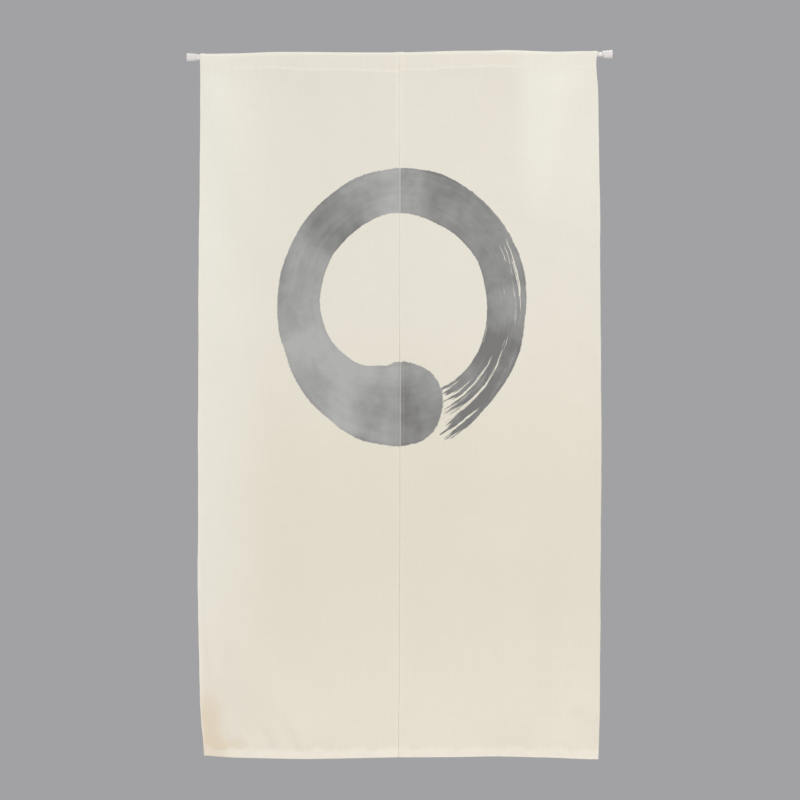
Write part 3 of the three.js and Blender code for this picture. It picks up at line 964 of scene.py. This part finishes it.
# How the corner patch and the painted shade weaken where the cloth lies double, and how much clouds and slubs
# show.
PATCH_AND_SHADE_ON_DOUBLED = Ramp(0.35, 0.8, 1, 0.45)
CLOUDS = Ramp(0.35, 0.7, 0, 0.035)
CLOUD_COLOUR = (0.62, 0.57, 0.47)
SLUBS = Ramp(0.1, 0.95, 0.055, 0)
SLUB_COLOUR = (0.52, 0.47, 0.38)

# The ink's edge, in shares of the ring's half width: how soft it is, and how far it
# wobbles and frays. The head strays further, and the inner edge strays the other way.
INK_EDGE = 0.0035
WOBBLE = 0.06
FRAY = 0.022
BLOT_UNEVENNESS = 1.6
INNER_UNEVENNESS = -1.9

# Marks of the brush's hairs, how much the fine ones count, and the thinner print in the
# first millimetres right of the slit.
COARSE_HAIRS = Hairs(12.0, 5.0, 3.1, 3.0)
FINE_HAIRS = Hairs(46.0, 15.0, 7.7, 2.0)
FINE_SHARE = 0.38
BARE_SLIT_EDGE = Ramp(0.8 * MM, 2.6 * MM, 0.55, 1)

# How slowly scuffs change along the rod, and what share of its white soil leaves.
SCUFF_SQUEEZE = 0.06
SOILED = (0.86, 0.84, 0.80)


class Nodes:
    """Adds nodes to one tree and feeds their inputs with values or other sockets."""

    def __init__(self, tree):
        self.tree = tree

    def add(self, kind, inputs=(), **settings):
        node = self.tree.nodes.new(kind)
        for name, value in settings.items():
            setattr(node, name, value)
        for key, value in dict(inputs).items():
            self.feed(node.inputs[key], value)
        return node

    def feed(self, socket, value):
        if isinstance(value, bpy.types.NodeSocket):
            self.tree.links.new(value, socket)
        elif hasattr(value, "__len__") and len(value) == 3 and socket.type == "RGBA":
            socket.default_value = (*value, 1)
        else:
            socket.default_value = value

    def math(self, operation, *values):
        return self.add("ShaderNodeMath", dict(enumerate(values)), operation=operation).outputs[0]

    def plus(self, *values):
        return self.math("ADD", *values)

    def minus(self, *values):
        return self.math("SUBTRACT", *values)

    def times(self, *values):
        return self.math("MULTIPLY", *values)

    def divided(self, *values):
        return self.math("DIVIDE", *values)

    def larger(self, *values):
        return self.math("MAXIMUM", *values)

    def vector(self, operation, *values, output="Vector"):
        node = self.add("ShaderNodeVectorMath", dict(enumerate(values)), operation=operation)
        return node.outputs[output]

    def mix(self, factor, first, second):
        """Goes from one colour to another."""
        inputs = {"Factor": factor, 6: first, 7: second}
        return self.add("ShaderNodeMix", inputs, data_type="RGBA").outputs[2]

    def between(self, factor, first, second):
        """Goes from one value to another."""
        inputs = {"Factor": factor, 2: first, 3: second}
        return self.add("ShaderNodeMix", inputs, data_type="FLOAT").outputs[0]

    def ramp(self, value, low, high, start=0.0, end=1.0):
        """Eases from start to end as a value goes from low to high."""
        inputs = {"Value": value, "From Min": low, "From Max": high, "To Min": start, "To Max": end}
        return self.add("ShaderNodeMapRange", inputs, interpolation_type="SMOOTHSTEP").outputs[0]

    def noise(self, vector, scale, detail=2.0, roughness=0.5):
        inputs = {"Vector": vector, "Scale": scale, "Detail": detail, "Roughness": roughness}
        return self.add("ShaderNodeTexNoise", inputs).outputs[0]

    def split(self, vector):
        return self.add("ShaderNodeSeparateXYZ", {0: vector}).outputs

    def join(self, x, y, z):
        return self.add("ShaderNodeCombineXYZ", {0: x, 1: y, 2: z}).outputs[0]

    def group(self, tree, inputs):
        """The outputs of a shader group fed with these inputs."""
        return self.add("ShaderNodeGroup", inputs, node_tree=tree).outputs

    def attribute(self, name, output):
        return self.add("ShaderNodeAttribute", attribute_name=name).outputs[output]

    def bump(self, strength, distance, height):
        inputs = {"Strength": strength, "Distance": distance, "Height": height}
        return self.add("ShaderNodeBump", inputs).outputs[0]

    def curve(self, value, places, heights):
        """A smooth curve through heights from 0 to 1 at places from 0 to 1."""
        node = self.add("ShaderNodeFloatCurve", {"Value": value})
        points = node.mapping.curves[0].points
        while len(points) < len(places):
            points.new(0.5, 0.5)
        for point, place, height in zip(points, places, heights):
            point.location = (place, height)
        node.mapping.update()
        return node.outputs[0]


def shader_group(name, inputs, outputs):
    """An empty shader group with named inputs and outputs, and its helper and ends."""
    tree = bpy.data.node_groups.new(name, "ShaderNodeTree")

    def new_socket(label, kind, direction):
        return tree.interface.new_socket(name=label, in_out=direction, socket_type=f"NodeSocket{kind}")

    for label, kind, default in inputs:
        socket = new_socket(label, kind, "INPUT")
        if default is not None:
            socket.default_value = default
    for label, kind in outputs:
        new_socket(label, kind, "OUTPUT")
    nodes = Nodes(tree)
    source = nodes.add("NodeGroupInput").outputs
    return nodes, source, nodes.add("NodeGroupOutput").inputs


def weave_group():
    """Plain weave of uneven threads: its height, and the shade of its slubs."""
    nodes, source, result = shader_group(
        "plain_weave",
        [("Vector", "Vector", None), ("Pitch", "Float", 0.001), ("Unevenness", "Float", 0.5)],
        [("Height", "Float"), ("Shade", "Float")],
    )
    x, _, z = nodes.split(source["Vector"])
    bend = nodes.noise(source["Vector"], scale=90.0, detail=1.0)
    shift = nodes.times(nodes.minus(bend, 0.5), source["Unevenness"])
    heights = []
    shades = []
    cells = []
    for first, second in ((x, z), (z, x)):
        turns = nodes.plus(nodes.divided(first, source["Pitch"]), nodes.times(shift, THREAD_WANDER))
        wave = nodes.math("ABSOLUTE", nodes.math("SINE", nodes.times(turns, math.pi)))
        heights.append(nodes.math("POWER", wave, THREAD_ROUNDNESS))
        cells.append(nodes.math("FLOOR", turns))
        slub_at = nodes.join(first, 0.37, nodes.times(second, SLUB_SQUEEZE))
        shades.append(nodes.noise(slub_at, scale=420.0, detail=3.0, roughness=0.62))
    parity = nodes.math("MODULO", nodes.plus(*cells), 2.0)
    over = nodes.minus(nodes.times(nodes.math("ABSOLUTE", parity), 2.0), 1.0)
    raised = []
    for height, shade, crossing in zip(heights, shades, (THREAD_CROSSING, -THREAD_CROSSING)):
        lift = nodes.plus(0.62, nodes.times(over, crossing))
        thick = nodes.plus(0.6, nodes.times(shade, 0.8))
        raised.append(nodes.times(nodes.times(height, lift), thick))
    nodes.feed(result["Height"], nodes.larger(*raised))
    mean = nodes.times(nodes.plus(*shades), 0.5)
    nodes.feed(result["Shade"], nodes.ramp(mean, 0.3, 0.7))
    return nodes.tree


def cloth_tone_group():
    """Colour of the bare cloth: warmer low down, lighter where it lies double and at the painted highlights,
    with painted light at the left and the top right, a warmer, darker patch at the lower left corner, and
    painted shade above the bottom hem beside it."""
    colours = (
        "Colour",
        "Middle colour",
        "Low colour",
        "Pale colour",
        "Doubled colour",
        "Low doubled colour",
    )
    nodes, source, result = shader_group(
        "cloth_tone",
        [("Vector", "Vector", None), ("Shade", "Float", 0.5), ("Doubled", "Float", 0.0)]
        + [(colour, "Color", None) for colour in colours],
        [("Color", "Color")],
    )
    x, _, z = nodes.split(source["Vector"])

    def within(area):
        return nodes.times(nodes.ramp(x, *area.x), nodes.ramp(z, *area.z))

    middle = nodes.ramp(z, *MIDDLE_PART)
    low = nodes.ramp(z, *LOW_PART)
    even = nodes.mix(middle, source["Colour"], source["Middle colour"])
    even = nodes.mix(low, even, source["Low colour"])
    # Painted light at the left and the top right.
    painted_left_light = nodes.times(within(PAINTED_LIGHT_LEFT), nodes.ramp(z, *PAINTED_LIGHT_LEFT_END))
    painted_top_right_light = nodes.times(within(PAINTED_LIGHT_RIGHT), nodes.ramp(x, *PAINTED_LIGHT_RIGHT_END))
    plain = nodes.mix(nodes.larger(painted_left_light, painted_top_right_light), even, source["Pale colour"])
    lighter = nodes.mix(low, source["Doubled colour"], source["Low doubled colour"])
    # Lighter where the cloth lies double, and at the painted highlights that share its tone.
    clear = nodes.mix(source["Doubled"], plain, lighter)
    cloud = nodes.noise(source["Vector"], scale=5.5, detail=3.0, roughness=0.55)
    clouded = nodes.mix(nodes.ramp(cloud, *CLOUDS), clear, CLOUD_COLOUR)
    # Warmer, darker patch at the lower left corner, and painted shade above the bottom hem there.
    patch_and_shade = nodes.plus(within(WARM_CORNER_PATCH), within(PAINTED_HEM_SHADE))
    patch_and_shade = nodes.times(patch_and_shade, nodes.ramp(source["Doubled"], *PATCH_AND_SHADE_ON_DOUBLED))
    with_patch_and_shade = nodes.mix(patch_and_shade, clouded, PATCH_AND_SHADE_COLOUR)
    slub = nodes.ramp(source["Shade"], *SLUBS)
    nodes.feed(result["Color"], nodes.mix(slub, with_patch_and_shade, SLUB_COLOUR))
    return nodes.tree


def brush_curve(nodes, share, column):
    """One column of the brush table, along the stroke."""
    top = 1.25
    places = [row.share for row in BRUSH]
    heights = [getattr(row, column) / top for row in BRUSH]
    return nodes.times(nodes.curve(share, places, heights), top)


def head_blot(nodes, place, uneven, head_turn):
    """The round blot where the brush was set down."""
    head = BRUSH[0]
    radius = head.width / 2
    from_axis = head.outer - radius
    angle = 2 * math.pi * head_turn
    middle = (-from_axis * math.sin(angle), 0.0, -from_axis * math.cos(angle))
    to_head = nodes.vector("SUBTRACT", place, middle)
    distance = nodes.vector("LENGTH", to_head, output="Value")
    edge = nodes.plus(radius, nodes.times(uneven, BLOT_UNEVENNESS))
    return nodes.ramp(nodes.minus(edge, distance), -INK_EDGE, INK_EDGE)


def hair_marks(nodes, across_stroke, share, hairs):
    """Marks that the brush's hairs leave along the stroke."""
    at = nodes.join(nodes.times(across_stroke, hairs.across), nodes.times(share, hairs.along), hairs.place)
    return nodes.noise(at, scale=1.0, detail=hairs.detail, roughness=0.6)


def inked_marks(nodes, across_stroke, share, coarse):
    """Where the drying brush still leaves ink: its outer rim stays wet the longest."""
    fine = hair_marks(nodes, across_stroke, share, FINE_HAIRS)
    marks = nodes.plus(nodes.times(coarse, 1 - FINE_SHARE), nodes.times(fine, FINE_SHARE))
    outer_side = nodes.ramp(across_stroke, 0.3, 0.8)
    dry_inner = brush_curve(nodes, share, "dry_inner")
    dry_outer = brush_curve(nodes, share, "dry_outer")
    dry = nodes.between(outer_side, dry_inner, dry_outer)
    wet_rim = nodes.times(nodes.ramp(across_stroke, 0.84, 0.97, 0.0, 0.7), nodes.ramp(share, 1.0, 0.95))
    dry = nodes.times(dry, nodes.minus(1.0, wet_rim))
    level = nodes.plus(0.24, nodes.times(dry, 0.46))
    return nodes.ramp(nodes.minus(marks, level), -0.006, 0.012)


def ink_density(nodes, place, flat_x, across_stroke, share, coarse):
    """How dense the ink is: bands along the stroke, clouds, and more ink right of the slit."""
    x, _, z = nodes.split(place)
    cloud = nodes.ramp(nodes.noise(place, scale=2.6), 0.3, 0.7, -0.22, 0.22)
    mottle = nodes.noise(place, scale=9.0, detail=3.0, roughness=0.6)
    mottle = nodes.ramp(mottle, 0.3, 0.7, -0.09, 0.09)
    streaks = nodes.ramp(coarse, 0.3, 0.7, -0.05, 0.05)
    from_middle = nodes.math("ABSOLUTE", nodes.minus(across_stroke, 0.5))
    rim = nodes.ramp(from_middle, 0.44, 0.5, 0.0, 0.14)
    by_slit = nodes.ramp(nodes.math("ABSOLUTE", flat_x), 0.055, 0.0)
    on_right = nodes.math("GREATER_THAN", flat_x, 0.0)
    panel_tone = nodes.minus(nodes.times(on_right, 0.32), 0.14)
    near_head = nodes.times(nodes.ramp(x, -0.6, -0.1), nodes.math("LESS_THAN", share, 0.25))
    pool = nodes.times(nodes.ramp(z, -0.4, -0.85, -0.36, 0.06), near_head)
    dark = brush_curve(nodes, share, "dark")
    for part in (cloud, mottle, streaks, rim, pool, nodes.times(by_slit, panel_tone)):
        dark = nodes.plus(dark, part)
    return nodes.add("ShaderNodeClamp", {0: dark}).outputs[0]


def ring_group(ring):
    """The brushed ring: how far ink covers the cloth, and how dense it is."""
    nodes, source, result = shader_group(
        "brushed_ring",
        [
            ("Vector", "Vector", None),
            ("Centre X", "Float", 0.0),
            ("Centre Z", "Float", -0.5),
            ("Half width", "Float", 0.25),
            ("Squeeze", "Float", 0.9),
        ],
        [("Cover", "Float"), ("Dark", "Float")],
    )
    flat_x, _, flat_z = nodes.split(source["Vector"])
    x = nodes.divided(nodes.minus(flat_x, source["Centre X"]), source["Half width"])
    from_centre = nodes.times(nodes.minus(flat_z, source["Centre Z"]), source["Squeeze"])
    z = nodes.divided(from_centre, source["Half width"])
    place = nodes.join(x, 0.0, z)
    radius = nodes.vector("LENGTH", place, output="Value")

    angle = nodes.math("ARCTAN2", nodes.times(x, -1.0), nodes.times(z, -1.0))
    turns = nodes.minus(nodes.divided(angle, 2 * math.pi), ring.head)
    reached = nodes.divided(nodes.math("FRACT", turns), ring.span)
    on_stroke = nodes.math("LESS_THAN", reached, 1.0)

    wobble = nodes.minus(nodes.noise(place, scale=2.1), 0.5)
    fray = nodes.minus(nodes.noise(place, scale=34.0, detail=4.0, roughness=0.7), 0.5)
    uneven = nodes.plus(nodes.times(wobble, WOBBLE), nodes.times(fray, FRAY))

    blot = head_blot(nodes, place, uneven, ring.head)
    tail_in_blot = nodes.times(blot, nodes.math("GREATER_THAN", reached, 0.5))
    share = nodes.times(reached, nodes.minus(on_stroke, tail_in_blot))
    share = nodes.larger(share, 0.0)

    outer = nodes.plus(brush_curve(nodes, share, "outer"), uneven)
    width = brush_curve(nodes, share, "width")
    inner = nodes.minus(nodes.plus(outer, nodes.times(uneven, INNER_UNEVENNESS)), width)
    within = nodes.ramp(nodes.minus(outer, radius), -INK_EDGE, INK_EDGE)
    beyond = nodes.ramp(nodes.minus(radius, inner), -INK_EDGE, INK_EDGE)
    band = nodes.times(nodes.times(within, beyond), on_stroke)
    across_stroke = nodes.divided(nodes.minus(radius, inner), width)
    coarse = hair_marks(nodes, across_stroke, share, COARSE_HAIRS)
    band = nodes.times(band, inked_marks(nodes, across_stroke, share, coarse))

    bare_edge = nodes.ramp(flat_x, *BARE_SLIT_EDGE)
    left_panel = nodes.math("LESS_THAN", flat_x, 0.0)
    cover = nodes.times(nodes.larger(band, blot), nodes.larger(bare_edge, left_panel))
    nodes.feed(result["Cover"], cover)
    nodes.feed(result["Dark"], ink_density(nodes, place, flat_x, across_stroke, share, coarse))
    return nodes.tree


def surface_group():
    """Fine unevenness of a coated or moulded surface, with faint scuffs along the rod."""
    nodes, source, result = shader_group(
        "handled_surface",
        [("Vector", "Vector", None), ("Grain", "Float", 900.0), ("Scuffs", "Float", 0.2)],
        [("Height", "Float"), ("Roughness", "Float"), ("Soil", "Float")],
    )
    grain = nodes.noise(source["Vector"], source["Grain"], detail=3.0, roughness=0.55)
    x, y, z = nodes.split(source["Vector"])
    drawn = nodes.join(nodes.times(x, SCUFF_SQUEEZE), y, z)
    scuff = nodes.ramp(nodes.noise(drawn, scale=1400.0, detail=2.0, roughness=0.6), 0.6, 0.78)
    patch = nodes.noise(source["Vector"], scale=60.0, detail=3.0, roughness=0.6)
    rubbed = nodes.times(nodes.times(scuff, source["Scuffs"]), nodes.ramp(patch, 0.4, 0.65))
    nodes.feed(result["Height"], nodes.minus(grain, nodes.times(rubbed, 0.6)))
    nodes.feed(result["Roughness"], nodes.plus(nodes.ramp(patch, 0.3, 0.7, 0.30, 0.44), rubbed))
    nodes.feed(result["Soil"], nodes.times(nodes.ramp(patch, 0.45, 0.75), 0.35))
    return nodes.tree


def new_material(name, **constants):
    """A material with its shader, whose constant values are set on the shader itself."""
    material = bpy.data.materials.new(name)
    material.use_nodes = True
    shader = next(node for node in material.node_tree.nodes if node.type == "BSDF_PRINCIPLED")
    for socket, value in constants.items():
        shader.inputs[socket.replace("_", " ")].default_value = value
    return material, Nodes(material.node_tree), shader


def cloth_material(name, cloth, ring, groups, ink_strength):
    """One side of the woven cloth with the ring brushed on it."""
    material, nodes, shader = new_material(name, Roughness=0.88, Sheen_Weight=0.18, Sheen_Roughness=0.45)
    flat = nodes.attribute("flat", "Vector")
    weave = nodes.group(groups["weave"], {"Vector": flat, "Pitch": cloth.thread_pitch, "Unevenness": 0.5})
    tone_inputs = {
        "Vector": flat,
        "Shade": weave["Shade"],
        "Doubled": nodes.attribute("doubled", "Fac"),
        "Colour": cloth.colour,
        "Middle colour": cloth.middle_colour,
        "Low colour": cloth.low_colour,
        "Pale colour": cloth.painted_light_colour,
        "Doubled colour": cloth.doubled_colour,
        "Low doubled colour": cloth.low_doubled_colour,
    }
    tone = nodes.group(groups["tone"], tone_inputs)
    ring_inputs = {
        "Vector": flat,
        "Centre X": ring.centre_x,
        "Centre Z": -ring.centre_below,
        "Half width": ring.width / 2,
        "Squeeze": ring.width / ring.height,
    }
    brushed = nodes.group(groups["ring"], ring_inputs)
    ink = nodes.mix(brushed["Dark"], ring.light_ink, ring.dark_ink)
    right_side = nodes.minus(1.0, nodes.attribute("turned", "Fac"))
    cover = nodes.times(nodes.times(brushed["Cover"], right_side), ink_strength)
    nodes.feed(shader.inputs["Base Color"], nodes.mix(cover, tone["Color"], ink))
    nodes.feed(shader.inputs["Normal"], nodes.bump(0.5, 0.16 * MM, weave["Height"]))
    return material


def thread_material(cloth):
    """Twisted sewing thread."""
    material, nodes, shader = new_material("sewing_thread", Roughness=0.7, Sheen_Weight=0.3)
    place = nodes.add("ShaderNodeTexCoord").outputs["Object"]
    fibre = nodes.noise(place, scale=1900.0)
    shaded = tuple(0.8 * part for part in cloth.thread_colour)
    colour = nodes.mix(nodes.ramp(fibre, 0.35, 0.65), shaded, cloth.thread_colour)
    nodes.feed(shader.inputs["Base Color"], colour)
    nodes.feed(shader.inputs["Normal"], nodes.bump(0.4, 0.05 * MM, fibre))
    return material


def rod_material(name, colour, groups, grain, scuffs, depth, **constants):
    """White coating or moulded plastic with a fine grain and faint scuffs."""
    material, nodes, shader = new_material(name, **constants)
    place = nodes.add("ShaderNodeTexCoord").outputs["Object"]
    surface = nodes.group(groups["surface"], {"Vector": place, "Grain": grain, "Scuffs": scuffs})
    soiled = tuple(part * share for part, share in zip(colour, SOILED))
    nodes.feed(shader.inputs["Base Color"], nodes.mix(surface["Soil"], colour, soiled))
    nodes.feed(shader.inputs["Roughness"], surface["Roughness"])
    nodes.feed(shader.inputs["Normal"], nodes.bump(0.3, depth, surface["Height"]))
    return material


def shared_groups(ring):
    """The shader groups, built once and found again by name."""
    makers = {
        "weave": ("plain_weave", weave_group),
        "tone": ("cloth_tone", cloth_tone_group),
        "ring": ("brushed_ring", lambda: ring_group(ring)),
        "surface": ("handled_surface", surface_group),
    }
    return {key: bpy.data.node_groups.get(name) or make() for key, (name, make) in makers.items()}


class NOREN_OT_rod(bpy.types.Operator):
    """Makes the two tubes of the tension rod"""

    bl_idname = "noren.rod"
    bl_label = "Rod tubes"

    def execute(self, context):
        scene = context.scene
        rod = scene.noren_rod
        groups = shared_groups(scene.noren_ring)
        coated = rod_material(
            "coated_tube",
            rod.tube_colour,
            groups,
            grain=1300.0,
            scuffs=0.25,
            depth=0.03 * MM,
            Coat_Weight=0.25,
            Coat_Roughness=0.2,
        )
        turned_piece("thick_tube", thick_tube_profile(rod), rod, "rod_outer_tube", coated)
        turned_piece("thin_tube", thin_tube_profile(rod), rod, "rod_inner_tube", coated)
        return {"FINISHED"}


class NOREN_OT_caps(bpy.types.Operator):
    """Makes the two flared end caps"""

    bl_idname = "noren.caps"
    bl_label = "End caps"

    def execute(self, context):
        scene = context.scene
        rod = scene.noren_rod
        groups = shared_groups(scene.noren_ring)
        moulded = rod_material(
            "moulded_cap", rod.cap_colour, groups, grain=2100.0, scuffs=0.1, depth=0.05 * MM
        )
        left = cap_profile(rod, rod.thick_radius, 0.0, 1)
        right = cap_profile(rod, rod.thin_radius, rod.span, -1)
        turned_piece("left_cap", left, rod, "left_end_cap", moulded)
        turned_piece("right_cap", right, rod, "right_end_cap", moulded)
        return {"FINISHED"}


class NOREN_OT_cloth(bpy.types.Operator):
    """Makes the two cloth panels with their hems and rod pocket"""

    bl_idname = "noren.cloth"
    bl_label = "Cloth panels"

    def execute(self, context):
        scene = context.scene
        cloth, ring, rod = scene.noren_cloth, scene.noren_ring, scene.noren_rod
        groups = shared_groups(ring)
        front = cloth_material("cloth_front", cloth, ring, groups, 1.0)
        back = cloth_material("cloth_back", cloth, ring, groups, ring.show_through)
        for side in ("left", "right"):
            make_panel(side, cloth, rod, [front, back])
        return {"FINISHED"}


class NOREN_OT_stitching(bpy.types.Operator):
    """Makes the stitching of the hems, the pocket and the middle seam"""

    bl_idname = "noren.stitching"
    bl_label = "Stitching"

    def execute(self, context):
        scene = context.scene
        cloth, rod, stitching = scene.noren_cloth, scene.noren_rod, scene.noren_stitching
        thread = thread_material(cloth)
        seam = make_seam(cloth, rod, stitching, thread)
        for side, tubes in (("left", ["thick_tube"]), ("right", ["thick_tube", "thin_tube"])):
            sewn = [make_stitching(side, cloth, rod, stitching, thread)]
            sewn += [seam] if side == "left" else []
            width = Columns(side, cloth).width + 2 * cloth.side_hem
        return {"FINISHED"}


# Lights round the curtain, in metres from its middle, and one over it, in metres from
# the rod's middle.
LIGHTS = (
    Light("key_light", (1.7, -3.3, 0.6), 2.0, 70, (1.0, 0.985, 0.965)),
    Light("fill_light", (-2.5, -3.1, 0.1), 2.4, 52, (0.985, 0.99, 1.0)),
    Light("back_light", (0.7, 2.8, 2.3), 2.4, 60, (1.0, 0.99, 0.98)),
)
TOP_LIGHT = Light("top_light", (0, 0.05, 1.5), 0.9, 12, (1.0, 1.0, 1.0))


def soft_light(row, start, aim):
    """A large square soft light that points at a place."""
    light = bpy.data.lights.new(row.name, "AREA")
    light.shape = "SQUARE"
    light.size = row.size
    light.energy = row.power
    light.color = row.colour
    lamp = bpy.data.objects.new(row.name, light)
    place = start + Vector(row.offset)
    lamp.location = place
    lamp.rotation_euler = (aim - place).to_track_quat("-Z", "Y").to_euler()
    bpy.context.scene.collection.objects.link(lamp)


class NOREN_OT_stage(bpy.types.Operator):
    """Makes the floor, the soft lights and the camera"""

    bl_idname = "noren.stage"
    bl_label = "Stage"

    def execute(self, context):
        scene = context.scene
        stage = scene.noren_stage
        middle = Vector((stage.centre_x, 0, -stage.centre_below))
        self.make_camera(scene, stage, middle)
        self.make_floor(scene, stage, middle)
        self.make_lights(scene, stage, middle)
        return {"FINISHED"}

    def make_camera(self, scene, stage, middle):
        camera = bpy.data.cameras.new("Camera")
        camera.lens = stage.lens
        view = bpy.data.objects.new("Camera", camera)
        back = Vector((math.sin(stage.azimuth), -math.cos(stage.azimuth), 0))
        view.location = middle + back * stage.distance
        view.rotation_euler = (-back).to_track_quat("-Z", "Y").to_euler()
        scene.collection.objects.link(view)
        scene.camera = view

    def make_floor(self, scene, stage, middle):
        sides = 128
        angles = [2 * math.pi * i / sides for i in range(sides)]
        reach, height = stage.floor_radius, -stage.floor_below
        rim = [(middle.x + reach * math.cos(a), reach * math.sin(a), height) for a in angles]
        mesh = bpy.data.meshes.new("floor")
        mesh.from_pydata(rim, [], [tuple(range(sides))])
        floor = bpy.data.objects.new("floor", mesh)
        material, nodes, shader = new_material("pale_floor", Roughness=0.75)
        place = nodes.add("ShaderNodeTexCoord").outputs["Object"]
        cloud = nodes.ramp(nodes.noise(place, scale=1.3, detail=3.0), 0.3, 0.7)
        darker = tuple(0.96 * part for part in stage.floor_colour)
        nodes.feed(shader.inputs["Base Color"], nodes.mix(cloud, darker, stage.floor_colour))
        mesh.materials.append(material)
        scene.collection.objects.link(floor)

    def make_lights(self, scene, stage, middle):
        for row in LIGHTS:
            soft_light(row, middle, middle)
        over_rod = Vector((middle.x, 0, 0))
        soft_light(TOP_LIGHT, over_rod, over_rod + Vector((0, TOP_LIGHT.offset[1], 0)))
        world = bpy.data.worlds.new("surroundings")
        world.use_nodes = True
        background = next(node for node in world.node_tree.nodes if node.type == "BACKGROUND")
        background.inputs["Color"].default_value = (*stage.backdrop, 1)
        scene.world = world
        scene.view_settings.view_transform = "Standard"


class NOREN_PT_panel(bpy.types.Panel):
    """Lists the steps that make the curtain"""

    bl_idname = "NOREN_PT_panel"
    bl_label = "Noren curtain"
    bl_space_type = "VIEW_3D"
    bl_region_type = "UI"
    bl_category = "Noren"

    def draw(self, context):
        for operator in OPERATORS:
            self.layout.operator(operator.bl_idname)


SETTINGS = {
    "noren_cloth": NorenCloth,
    "noren_ring": NorenRing,
    "noren_stitching": NorenStitching,
    "noren_rod": NorenRod,
    "noren_stage": NorenStage,
}
OPERATORS = (NOREN_OT_stage, NOREN_OT_rod, NOREN_OT_caps, NOREN_OT_cloth, NOREN_OT_stitching)


def register():
    for group in (*SETTINGS.values(), *OPERATORS, NOREN_PT_panel):
        bpy.utils.register_class(group)
    for name, group in SETTINGS.items():
        setattr(bpy.types.Scene, name, PointerProperty(type=group))


def unregister():
    for name in SETTINGS:
        delattr(bpy.types.Scene, name)
    for group in reversed((*SETTINGS.values(), *OPERATORS, NOREN_PT_panel)):
        bpy.utils.unregister_class(group)


def main():
    register()
    bpy.ops.noren.stage()
    bpy.ops.noren.rod()
    bpy.ops.noren.caps()
    bpy.ops.noren.cloth()
    bpy.ops.noren.stitching()


if __name__ == "__main__":
    main()
